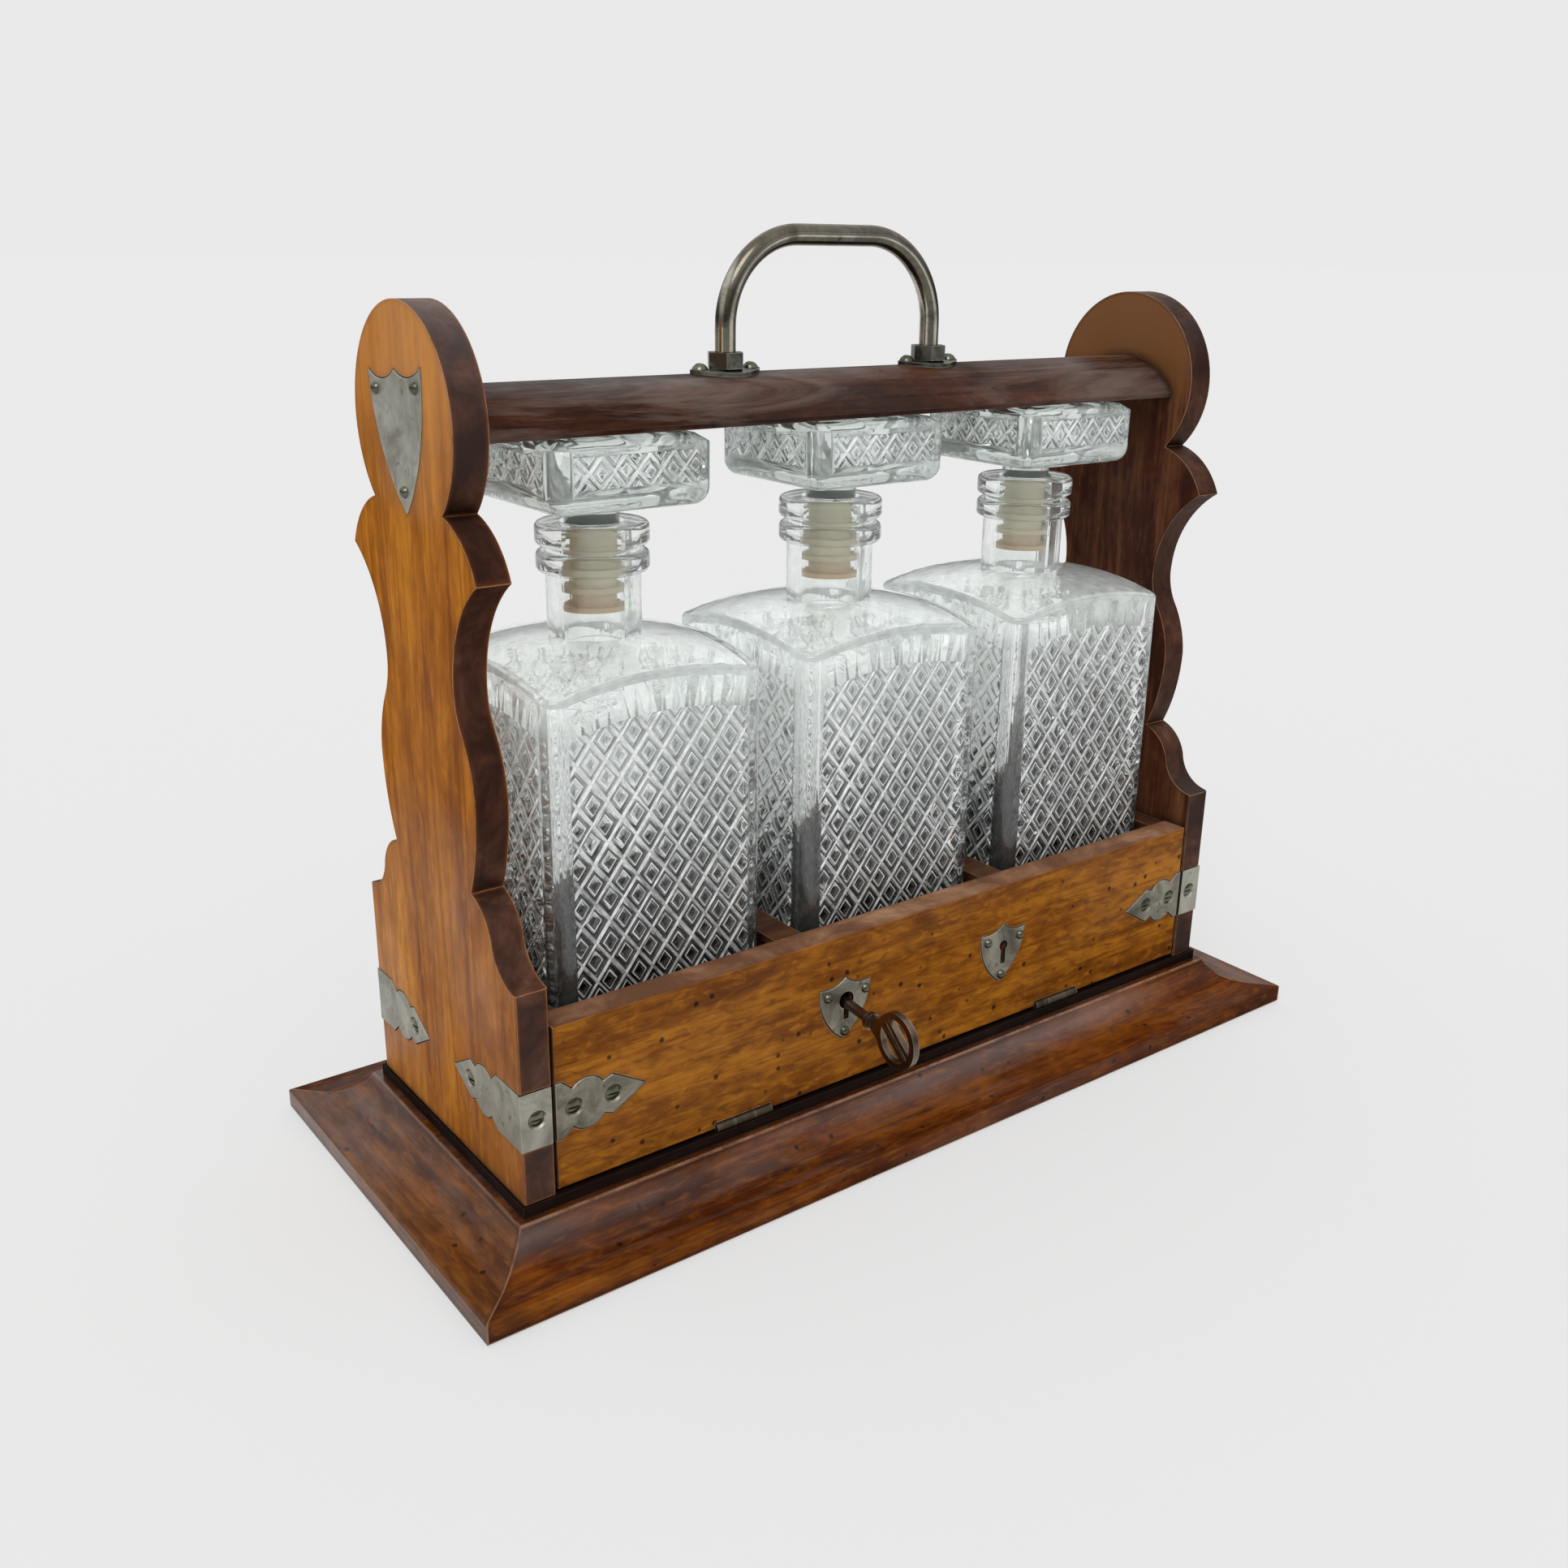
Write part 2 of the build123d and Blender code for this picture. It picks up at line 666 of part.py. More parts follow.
def plaque_pin_places(hand):
    plane = plaque_plane(hand, PLATE_PROUD)
    tip = -PLAQUE_PEAK_DROP - PLAQUE_HEIGHT
    spots = (
        (-PLAQUE_PIN_SPACING / 2, -PLAQUE_PIN_DROP),
        (PLAQUE_PIN_SPACING / 2, -PLAQUE_PIN_DROP),
        (0, tip + PLAQUE_TIP_PIN_RISE),
    )
    return [
        Plane(origin=plane.from_local_coords(spot), x_dir=plane.x_dir, z_dir=plane.z_dir)
        for spot in spots
    ]


plaque_outline = shield_outline(
    PLAQUE_WIDTH, PLAQUE_HEIGHT, PLAQUE_SCALLOP_SAG, PLAQUE_CHEEK_SAG, -PLAQUE_PEAK_DROP
)
plaque_blanks = {name: flat_plate(plaque_plane(hand), plaque_outline) for name, hand in hands.items()}
plaque_places = {name: plaque_pin_places(hand) for name, hand in hands.items()}
for side_name, blank in plaque_blanks.items():
    with BuildPart() as shield_plaque:
        add(blank.part)
        drill(plaque_places[side_name], PIN_SHANK_RADIUS, PLAQUE_PIN_LENGTH)
    save(shield_plaque, f"shield_plaque_{side_name}")
plaque_pins = group(
    pin(place, PLAQUE_PIN_LENGTH) for places in plaque_places.values() for place in places
)
save(plaque_pins, "plaque_pins")


# ---------------------------------------------------------------- sides
def side_outline():
    """The scroll-cut outline of a side, its own x along Y, its own y up."""
    half = back_face
    edge_top = carcass_bottom + EDGE_RISE
    ledge = (half - LEDGE_WIDTH, edge_top + LEDGE_RISE)
    cove = (ledge[0] - COVE_RUN, ledge[1] + COVE_RISE)
    notch = (cove[0] - OVOLO_RUN, cove[1] + OVOLO_RISE)
    belly = (notch[0] + BELLY_SWELL, notch[1] + BELLY_RISE)
    wing = (WING_HALF_WIDTH, head_level - WING_BELOW_HEAD)
    waist = (WAIST_HALF_WIDTH, wing[1] - WAIST_BELOW_WING)
    turn = (TURN_HALF_WIDTH, waist[1] - TURN_BELOW_WAIST)
    angle = radians(HEAD_NOTCH_ANGLE)
    neck = (HEAD_RADIUS * cos(angle), head_level - HEAD_RADIUS * sin(angle))
    crown = (0, head_level + HEAD_RADIUS)
    shoulder_angle = radians((90 - HEAD_NOTCH_ANGLE) / 2)
    cheek = (HEAD_RADIUS * cos(shoulder_angle), head_level + HEAD_RADIUS * sin(shoulder_angle))
    with BuildSketch() as outline:
        with BuildLine():
            Polyline((0, crown[1]), (0, carcass_bottom), (half, carcass_bottom), (half, edge_top), ledge)
            SagittaArc(ledge, cove, COVE_SAG)
            SagittaArc(cove, notch, -OVOLO_SAG)
            SagittaArc(notch, belly, -BELLY_LOWER_SAG)
            SagittaArc(belly, turn, -BELLY_UPPER_SAG)
            SagittaArc(turn, waist, TURN_SAG)
            SagittaArc(waist, wing, WAIST_SAG)
            SagittaArc(wing, neck, -WING_SAG)
            ThreePointArc(neck, cheek, crown)
        make_face()
        mirror(about=Plane.YZ)
    return outline.sketch


side_sketch = side_outline()
for side_name, hand in hands.items():
    inner_plane = Plane(origin=(hand * side_inner, 0, 0), x_dir=(0, 1, 0), z_dir=(1, 0, 0))
    with BuildPart() as side_board:
        with BuildSketch(inner_plane):
            add(side_sketch)
        extrude(amount=hand * SIDE_THICKNESS)
        chamfer(side_board.edges().filter_by(Axis.Z), SIDE_ARRIS)
        for end_name, end in ends.items():
            add(strap_recess(hand, end).part, mode=Mode.SUBTRACT)
            sink_strap_screws(strap_places[side_name, end_name])
        add(recess(plaque_plane(hand), plaque_outline).part, mode=Mode.SUBTRACT)
        drill(plaque_places[side_name], PIN_SHANK_RADIUS, PLAQUE_PIN_LENGTH)
    save(side_board, f"side_{side_name}")


# ---------------------------------------------------------------- back, floor, partitions
back_panel = block(-side_inner, side_inner, inside_back, back_face, carcass_bottom, front_top)
save(back_panel, "back_panel")

floor_board = block(-side_inner, side_inner, inside_front, inside_back, carcass_bottom, floor_top)
save(floor_board, "floor_board")

bay_centres = (-bay_pitch, 0, bay_pitch)
floor_baize = group(
    block(
        centre - BAY_LENGTH / 2,
        centre + BAY_LENGTH / 2,
        inside_front,
        inside_back,
        floor_top,
        decanter_bottom,
    ).part
    for centre in bay_centres
)
save(floor_baize, "floor_baize")

for side_name, hand in hands.items():
    near_x, far_x = sorted((hand * liner_inner, hand * side_inner))
    end_liner = block(near_x, far_x, inside_front, inside_back, floor_top, partition_top)
    save(end_liner, f"end_liner_{side_name}")

# ---------------------------------------------------------------- top bar and handle
bar_arc_rise = BAR_HEIGHT - BAR_EDGE_HEIGHT
bar_radius = ((BAR_WIDTH / 2) ** 2 + bar_arc_rise**2) / (2 * bar_arc_rise)
handle_plate_top = bar_top + HANDLE_PLATE_THICKNESS
handle_legs = {
    side_name: hand * HANDLE_SPAN / 2 - HANDLE_OFFSET for side_name, hand in hands.items()
}
handle_screw_places = [
    Plane(origin=(leg_x + side * HANDLE_SCREW_SPACING / 2, 0, handle_plate_top), z_dir=(0, 0, 1))
    for leg_x in handle_legs.values()
    for side in (-1, 1)
]
tenon_places = [
    Plane(origin=(leg_x, 0, handle_plate_top), z_dir=(0, 0, 1)) for leg_x in handle_legs.values()
]

with BuildPart() as top_bar:
    with BuildSketch(Plane(origin=(0, 0, bar_bottom), x_dir=(0, 1, 0), z_dir=(1, 0, 0))):
        with BuildLine():
            Polyline(
                (BAR_WIDTH / 2, BAR_EDGE_HEIGHT),
                (BAR_WIDTH / 2, 0),
                (-BAR_WIDTH / 2, 0),
                (-BAR_WIDTH / 2, BAR_EDGE_HEIGHT),
            )
            ThreePointArc(
                (-BAR_WIDTH / 2, BAR_EDGE_HEIGHT),
                (0, BAR_HEIGHT),
                (BAR_WIDTH / 2, BAR_EDGE_HEIGHT),
            )
        make_face()
    extrude(amount=side_inner, both=True)
    drill(handle_screw_places, PLATE_SCREW_SHANK_RADIUS, PLATE_SCREW_LENGTH)
    drill(tenon_places, HANDLE_TENON_RADIUS, HANDLE_TENON_LENGTH)
save(top_bar, "top_bar")

bar_axis_z = bar_top - bar_radius
for side_name, leg_x in handle_legs.items():
    with BuildPart() as handle_plate:
        with BuildSketch(Plane(origin=(leg_x, 0, bar_axis_z), x_dir=(0, 1, 0), z_dir=(1, 0, 0))):
            Circle(bar_radius + HANDLE_PLATE_THICKNESS)
            Circle(bar_radius, mode=Mode.SUBTRACT)
        extrude(amount=HANDLE_PLATE_LENGTH / 2, both=True)
        with BuildSketch(Plane.XY.offset(bar_axis_z)):
            with BuildLine():
                start = (leg_x - HANDLE_PLATE_LENGTH / 2, 0)
                end = (leg_x + HANDLE_PLATE_LENGTH / 2, 0)
                ThreePointArc(start, (leg_x, HANDLE_PLATE_WIDTH / 2), end)
                ThreePointArc(end, (leg_x, -HANDLE_PLATE_WIDTH / 2), start)
            make_face()
        extrude(amount=2 * bar_radius, mode=Mode.INTERSECT)
        drill(handle_screw_places, PLATE_SCREW_SHANK_RADIUS, PLATE_SCREW_LENGTH)
        drill(tenon_places, HANDLE_TENON_RADIUS, HANDLE_TENON_LENGTH)
    save(handle_plate, f"handle_plate_{side_name}")

handle_plate_screws = group(
    round_screw(
        place,
        PLATE_SCREW_HEAD_RADIUS,
        PLATE_SCREW_SHANK_RADIUS,
        PLATE_SCREW_LENGTH,
        PLATE_SCREW_DOME,
    )
    for place in handle_screw_places
)
save(handle_plate_screws, "handle_plate_screws")

handle_top = handle_plate_top + HANDLE_RISE
with BuildPart() as handle:
    with BuildLine(Plane.XZ):
        FilletPolyline(
            (handle_legs["left"], handle_plate_top),
            (handle_legs["left"], handle_top),
            (handle_legs["right"], handle_top),
            (handle_legs["right"], handle_plate_top),
            radius=HANDLE_BEND_RADIUS,
        )
    with BuildSketch(Plane.XY.offset(handle_plate_top)):
        with Locations((handle_legs["left"], 0)):
            Circle(HANDLE_ROD_RADIUS)
    sweep()
    for place in tenon_places:
        with BuildSketch(place):
            Circle(HANDLE_TENON_RADIUS)
        extrude(amount=-HANDLE_TENON_LENGTH)
save(handle, "handle")

with BuildPart() as handle_collars:
    for place in tenon_places:
        with BuildSketch(place):
            RegularPolygon(HANDLE_COLLAR_RADIUS, 6, major_radius=False)
            Circle(HANDLE_ROD_RADIUS, mode=Mode.SUBTRACT)
        extrude(amount=HANDLE_COLLAR_HEIGHT)
save(handle_collars, "handle_collars")

# ---------------------------------------------------------------- hinges
with BuildPart() as hinge_leaves_fixed:
    for hand in (-1, 1):
        hinge_x = hand * HINGE_SPACING / 2
        with BuildSketch(Plane.XY.offset(carcass_bottom)):
            with Locations((hinge_x, (hinge_leaf_front + hinge_leaf_back) / 2)):
                Rectangle(HINGE_LENGTH, hinge_leaf_back - hinge_leaf_front)
            with Locations((hinge_x, (front_face + hinge_leaf_front) / 2)):
                Rectangle(HINGE_FIXED_KNUCKLE, hinge_leaf_front - front_face)
        extrude(amount=HINGE_LEAF_THICKNESS)
        knuckle_plane = Plane(origin=(hinge_x, front_face, hinge_z), x_dir=(0, 1, 0), z_dir=(1, 0, 0))
        with BuildSketch(knuckle_plane):
            Circle(HINGE_KNUCKLE_RADIUS)
        extrude(amount=HINGE_FIXED_KNUCKLE / 2, both=True)
        with BuildSketch(knuckle_plane):
            Circle(HINGE_PIN_RADIUS)
        extrude(amount=HINGE_FIXED_KNUCKLE / 2, both=True, mode=Mode.SUBTRACT)
    sink_hidden_screws(fixed_leaf_screws)
save(hinge_leaves_fixed, "hinge_leaves_fixed")

moving_knuckle = (HINGE_LENGTH - HINGE_FIXED_KNUCKLE) / 2 - HINGE_CLEARANCE
moving_knuckle_x = (HINGE_LENGTH - moving_knuckle) / 2
with BuildPart() as hinge_leaves_moving:
    for hand in (-1, 1):
        hinge_x = hand * HINGE_SPACING / 2
        with BuildSketch(Plane.XY.offset(front_bottom)):
            with Locations((hinge_x, (hinge_leaf_front + hinge_leaf_back) / 2)):
                Rectangle(HINGE_LENGTH, hinge_leaf_back - hinge_leaf_front)
            for side in (-1, 1):
                with Locations(
                    (hinge_x + side * moving_knuckle_x, (front_face + hinge_leaf_front) / 2)
                ):
                    Rectangle(moving_knuckle, hinge_leaf_front - front_face)
        extrude(amount=HINGE_LEAF_THICKNESS)
        for side in (-1, 1):
            knuckle_plane = Plane(
                origin=(hinge_x + side * moving_knuckle_x, front_face, hinge_z),
                x_dir=(0, 1, 0),
                z_dir=(1, 0, 0),
            )
            with BuildSketch(knuckle_plane):
                Circle(HINGE_KNUCKLE_RADIUS)
            extrude(amount=moving_knuckle / 2, both=True)
            with BuildSketch(knuckle_plane):
                Circle(HINGE_PIN_RADIUS + RUNNING_CLEARANCE)
            extrude(amount=moving_knuckle / 2, both=True, mode=Mode.SUBTRACT)
    sink_hidden_screws(moving_leaf_screws)
save(hinge_leaves_moving, "hinge_leaves_moving")

with BuildPart() as hinge_pins:
    for hand in (-1, 1):
        with BuildSketch(
            Plane(origin=(hand * HINGE_SPACING / 2, front_face, hinge_z), z_dir=(1, 0, 0))
        ):
            Circle(HINGE_PIN_RADIUS)
        extrude(amount=HINGE_LENGTH / 2, both=True)
save(hinge_pins, "hinge_pins")

# ---------------------------------------------------------------- lock levels
lock_plate_y = front_back - LOCK_PLATE_THICKNESS
case_outer_y = front_back - LOCK_CASE_DEPTH
bolt_inner_y = lock_plate_y - LOCK_CLEARANCE
bolt_outer_y = bolt_inner_y - BOLT_THICKNESS
finger_bottom = key_z + BOLT_FINGER_ABOVE_KEY
finger_top = finger_bottom + BOLT_FINGER_HEIGHT
strip_bottom = key_z + BOLT_STRIP_ABOVE_KEY
strip_top = strip_bottom + BOLT_STRIP_HEIGHT
staple_bottom = finger_bottom - LOCK_CLEARANCE - STAPLE_BAR
staple_top = finger_top + LOCK_CLEARANCE + STAPLE_BAR
staple_eye_outer = bolt_outer_y - STAPLE_EYE_CLEARANCE
case_bottom = key_z - KEY_BIT_RADIUS - LOCK_FREE_SPACE
case_top = staple_top + LOCK_FREE_SPACE
pivot_y = (lock_plate_y + front_back) / 2


def bolt_span(key_x, staple_x):
    """Where a lock's bolt stands when drawn back: finger tip, block, notch and strip ends."""
    tip = staple_x + STAPLE_THICKNESS / 2 + STAPLE_TIP_GAP
    block_left = tip + BOLT_FINGER_LENGTH
    block_right = block_left + BOLT_BLOCK_LENGTH
    notch = key_x + BOLT_THROW / 2
    strip_left = min(block_left, notch - BOLT_NOTCH_WIDTH / 2 - BOLT_END_LENGTH)
    strip_right = max(block_right, notch + BOLT_NOTCH_WIDTH / 2 + BOLT_END_LENGTH)
    return tip, block_left, block_right, notch, strip_left, strip_right


def case_span(key_x, staple_x):
    """The inside of a lock case from left to right."""
    tip, _, _, _, strip_left, strip_right = bolt_span(key_x, staple_x)
    left = min(min(tip, strip_left) - BOLT_THROW, key_x - KEY_BIT_RADIUS) - LOCK_FREE_SPACE
    right = max(strip_right, key_x + KEY_BIT_RADIUS) + LOCK_FREE_SPACE
    return left, right


def lock_screw_places(key_x, staple_x):
    left, right = case_span(key_x, staple_x)
    reach = LOCK_WALL + LOCK_FLANGE / 2
    inset = LOCK_FLANGE / 2
    return [
        rear_plane(x, z, front_back)
        for x in (left - reach, right + reach)
        for z in (case_bottom + inset, case_top - inset)
    ]


def lock_case(key_x, staple_x):
    """A lock case: a plate flush with the front's inner face, and a rim behind it."""
    left, right = case_span(key_x, staple_x)
    reach = LOCK_WALL + LOCK_FLANGE
    with BuildPart() as case:
        add(
            block(
                left - LOCK_WALL,
                right + LOCK_WALL,
                case_outer_y,
                front_back,
                case_bottom - LOCK_WALL,
                case_top + LOCK_WALL,
            ).part
        )
        add(
            block(
                left - reach,
                right + reach,
                lock_plate_y,
                front_back,
                case_bottom - LOCK_WALL,
                case_top + LOCK_WALL,
            ).part
        )
    return case


def lock_case_space(key_x, staple_x):
    """The hollow of a lock case."""
    left, right = case_span(key_x, staple_x)
    return block(left, right, case_outer_y, lock_plate_y, case_bottom, case_top)


def staple_window(staple_x):
    """The opening through which a staple enters its lock."""
    half = STAPLE_THICKNESS / 2 + STAPLE_SIDE_CLEARANCE
    return block(
        staple_x - half,
        staple_x + half,
        lock_plate_y,
        front_back,
        staple_bottom - STAPLE_SINK_CLEARANCE,
        staple_top + LOCK_CLEARANCE,
    )


def keyhole(key_x, radius, y, depth):
    """A keyhole of a given depth behind a face at y."""
    half = KEY_BIT_THICKNESS / 2 + KEYHOLE_CLEARANCE
    bottom = KEY_BIT_RADIUS + LOCK_FREE_SPACE
    with BuildPart() as hole:
        with BuildSketch(front_plane(key_x, key_z, y)):
            Circle(radius)
            with Locations((0, -bottom / 2)):
                Rectangle(2 * half, bottom)
        extrude(amount=-depth)
    return hole


def escutcheon_plane(key_x):
    """The escutcheon's plane, its origin midway between the upper corners. It leans a little."""
    lean = radians(ESCUTCHEON_TILT)
    return Plane(
        origin=(key_x - ESCUTCHEON_OFFSET, front_face, key_z + ESCUTCHEON_ABOVE_KEY),
        x_dir=(cos(lean), 0, -sin(lean)),
        z_dir=(0, -1, 0),
    )


def escutcheon_pin_places(key_x):
    plane = escutcheon_plane(key_x).offset(PLATE_PROUD)
    half = ESCUTCHEON_PIN_SPACING / 2
    tip = ESCUTCHEON_PEAK_RISE - ESCUTCHEON_HEIGHT
    spots = (
        (ESCUTCHEON_PIN_SHIFT - half, -ESCUTCHEON_PIN_DROP),
        (ESCUTCHEON_PIN_SHIFT + half, -ESCUTCHEON_PIN_DROP),
        (ESCUTCHEON_PIN_SHIFT, tip + ESCUTCHEON_TIP_PIN_RISE),
    )
    return [
        Plane(origin=plane.from_local_coords(spot), x_dir=plane.x_dir, z_dir=plane.z_dir)
        for spot in spots
    ]


locks = {"left": (LEFT_KEY_X, -divider_x), "right": (RIGHT_KEY_X, divider_x)}
# The left keyhole has been worn wide by the key that hangs in it.
keyhole_radii = {"left": WORN_KEYHOLE_RADIUS, "right": KEY_SHAFT_RADIUS + KEYHOLE_CLEARANCE}
escutcheon_outline = shield_outline(
    ESCUTCHEON_WIDTH,
    ESCUTCHEON_HEIGHT,
    ESCUTCHEON_SCALLOP_SAG,
    ESCUTCHEON_CHEEK_SAG,
    ESCUTCHEON_PEAK_RISE,
)
escutcheon_planes = {name: escutcheon_plane(key_x) for name, (key_x, _) in locks.items()}
escutcheon_places = {name: escutcheon_pin_places(key_x) for name, (key_x, _) in locks.items()}

# ---------------------------------------------------------------- leaves on the front
front_end = side_inner - FRONT_END_CLEARANCE
panel_leaf_planes = {
    "left": front_plane(-front_end, leaf_z),
    "right": flipped(front_plane(front_end, leaf_z)),
}
panel_leaf_places = {
    name: [
        front_plane(hand * (front_end - distance), leaf_z, plate_outer_y)
        for distance in (LEAF_FIRST_SCREW, LEAF_SECOND_SCREW)
    ]
    for name, hand in hands.items()
}
for side_name, plane in panel_leaf_planes.items():
    with BuildPart() as panel_leaf:
        add(flat_plate(plane, leaf_outline()).part)
        sink_strap_screws(panel_leaf_places[side_name])
    save(panel_leaf, f"panel_leaf_{side_name}")
panel_leaf_screws = group(
    strap_screw(place) for places in panel_leaf_places.values() for place in places
)
save(panel_leaf_screws, "panel_leaf_screws")

for lock_name, (key_x, _) in locks.items():
    with BuildPart() as escutcheon:
        add(flat_plate(escutcheon_planes[lock_name], escutcheon_outline).part)
        drill(escutcheon_places[lock_name], PIN_SHANK_RADIUS, ESCUTCHEON_PIN_LENGTH)
        hole = keyhole(key_x, keyhole_radii[lock_name], plate_outer_y, PLATE_THICKNESS)
        add(hole.part, mode=Mode.SUBTRACT)
    save(escutcheon, f"escutcheon_{lock_name}")
escutcheon_pins = group(
    pin(place, ESCUTCHEON_PIN_LENGTH) for places in escutcheon_places.values() for place in places
)
save(escutcheon_pins, "escutcheon_pins")

# ---------------------------------------------------------------- front panel
with BuildPart() as front_panel:
    add(block(-front_end, front_end, front_face, front_back, front_bottom, front_top).part)
    top_rear = front_panel.edges().filter_by(Axis.X).group_by(Axis.Z)[-1].sort_by(Axis.Y)[-1]
    fillet(front_panel.faces().sort_by(Axis.Y)[0].edges() + [top_rear], FRONT_EDGE_EASE)
    for lock_name, (key_x, staple_x) in locks.items():
        add(lock_case(key_x, staple_x).part, mode=Mode.SUBTRACT)
        add(lock_case_space(key_x, staple_x).part, mode=Mode.SUBTRACT)
        case_left, case_right = case_span(key_x, staple_x)
        floor_gap = block(
            case_left - LOCK_WALL,
            case_right + LOCK_WALL,
            case_outer_y - LOCK_CLEARANCE,
            case_outer_y,
            case_bottom - LOCK_WALL,
            case_top + LOCK_WALL,
        )
        add(floor_gap.part, mode=Mode.SUBTRACT)
        sink_hidden_screws(lock_screw_places(key_x, staple_x))
        hole = keyhole(key_x, keyhole_radii[lock_name], front_face, FRONT_THICKNESS / 2)
        add(hole.part, mode=Mode.SUBTRACT)
        add(recess(escutcheon_planes[lock_name], escutcheon_outline).part, mode=Mode.SUBTRACT)
        drill(escutcheon_places[lock_name], PIN_SHANK_RADIUS, ESCUTCHEON_PIN_LENGTH)
    for side_name, plane in panel_leaf_planes.items():
        add(recess(plane, leaf_outline()).part, mode=Mode.SUBTRACT)
        sink_strap_screws(panel_leaf_places[side_name])
    for hand in (-1, 1):
        hinge_x = hand * HINGE_SPACING / 2
        half = HINGE_LENGTH / 2 + HINGE_CLEARANCE
        notch_top = hinge_z + HINGE_KNUCKLE_RADIUS + HINGE_CLEARANCE
        knuckle_space = block(
            hinge_x - half, hinge_x + half, front_face, hinge_leaf_front, front_bottom, notch_top
        )
        leaf_space = block(
            hinge_x - HINGE_LENGTH / 2,
            hinge_x + HINGE_LENGTH / 2,
            hinge_leaf_front,
            hinge_leaf_back,
            front_bottom,
            front_bottom + HINGE_LEAF_THICKNESS,
        )
        add(knuckle_space.part, mode=Mode.SUBTRACT)
        add(leaf_space.part, mode=Mode.SUBTRACT)
    sink_hidden_screws(moving_leaf_screws)
save(front_panel, "front_panel")

# ---------------------------------------------------------------- lock cases and bolts
for lock_name, (key_x, staple_x) in locks.items():
    with BuildPart() as finished_case:
        add(lock_case(key_x, staple_x).part)
        add(lock_case_space(key_x, staple_x).part, mode=Mode.SUBTRACT)
        add(staple_window(staple_x).part, mode=Mode.SUBTRACT)
        with Locations(rear_plane(key_x, key_z, front_back).location):
            Hole(KEY_PIVOT_RADIUS + PIVOT_CLEARANCE, depth=LOCK_PLATE_THICKNESS)
        sink_hidden_screws(lock_screw_places(key_x, staple_x))
    save(finished_case, f"lock_case_{lock_name}")

    tip, block_left, block_right, notch, strip_left, strip_right = bolt_span(key_x, staple_x)
    with BuildPart() as bolt:
        add(block(tip, block_right, bolt_outer_y, bolt_inner_y, finger_bottom, finger_top).part)
        add(block(block_left, block_right, bolt_outer_y, bolt_inner_y, strip_bottom, finger_top).part)
        add(block(strip_left, strip_right, bolt_outer_y, bolt_inner_y, strip_bottom, strip_top).part)
        with BuildSketch(front_plane(notch, strip_bottom, bolt_inner_y)):
            with Locations((0, BOLT_NOTCH_DEPTH / 2)):
                Rectangle(BOLT_NOTCH_WIDTH, BOLT_NOTCH_DEPTH)
        extrude(amount=BOLT_THICKNESS, mode=Mode.SUBTRACT)
    save(bolt, f"bolt_{lock_name}")

lock_and_hinge_screws = group(
    hidden_screw(place)
    for place in [
        *lock_screw_places(*locks["left"]),
        *lock_screw_places(*locks["right"]),
        *moving_leaf_screws,
    ]
)
save(lock_and_hinge_screws, "lock_and_hinge_screws")


# ---------------------------------------------------------------- dividers and staples
def staple_screw_places(staple_x):
    first = staple_bottom - STAPLE_SCREW_INSET
    return [
        front_plane(staple_x, z, inside_front) for z in (first, first - STAPLE_SCREW_SPACING)
    ]


def staple_plate(staple_x):
    """The staple's plate, let in flush to the front end of its divider."""
    return block(
        staple_x - STAPLE_PLATE_WIDTH / 2,
        staple_x + STAPLE_PLATE_WIDTH / 2,
        inside_front,
        inside_front + STAPLE_PLATE_THICKNESS,
        staple_bottom - STAPLE_PLATE_BELOW,
        staple_top + STAPLE_PLATE_ABOVE,
    )


for side_name, hand in hands.items():
    staple_x = hand * divider_x
    half = DIVIDER_THICKNESS / 2
    with BuildPart() as divider:
        add(
            block(
                staple_x - half, staple_x + half, inside_front, inside_back, floor_top, partition_top
            ).part
        )
        add(staple_plate(staple_x).part, mode=Mode.SUBTRACT)
        sink_hidden_screws(staple_screw_places(staple_x))
    save(divider, f"divider_{side_name}")

    with BuildPart() as lock_staple:
        add(staple_plate(staple_x).part)
        with BuildSketch(end_plane(1, 0, 0, staple_x)):
            with Locations(
                ((staple_eye_outer - STAPLE_BAR + inside_front) / 2, (staple_bottom + staple_top) / 2)
            ):
                Rectangle(inside_front - staple_eye_outer + STAPLE_BAR, staple_top - staple_bottom)
            with Locations(
                (
                    (bolt_outer_y + bolt_inner_y) / 2,
                    (finger_bottom + finger_top) / 2,
                )
            ):
                Rectangle(
                    BOLT_THICKNESS + 2 * STAPLE_EYE_CLEARANCE,
                    BOLT_FINGER_HEIGHT + 2 * LOCK_CLEARANCE,
                    mode=Mode.SUBTRACT,
                )
        extrude(amount=STAPLE_THICKNESS / 2, both=True)
        sink_hidden_screws(staple_screw_places(staple_x))
    save(lock_staple, f"lock_staple_{side_name}")

staple_and_hinge_screws = group(
    hidden_screw(place)
    for place in [
        *staple_screw_places(-divider_x),
        *staple_screw_places(divider_x),
        *fixed_leaf_screws,
    ]
)
save(staple_and_hinge_screws, "staple_and_hinge_screws")

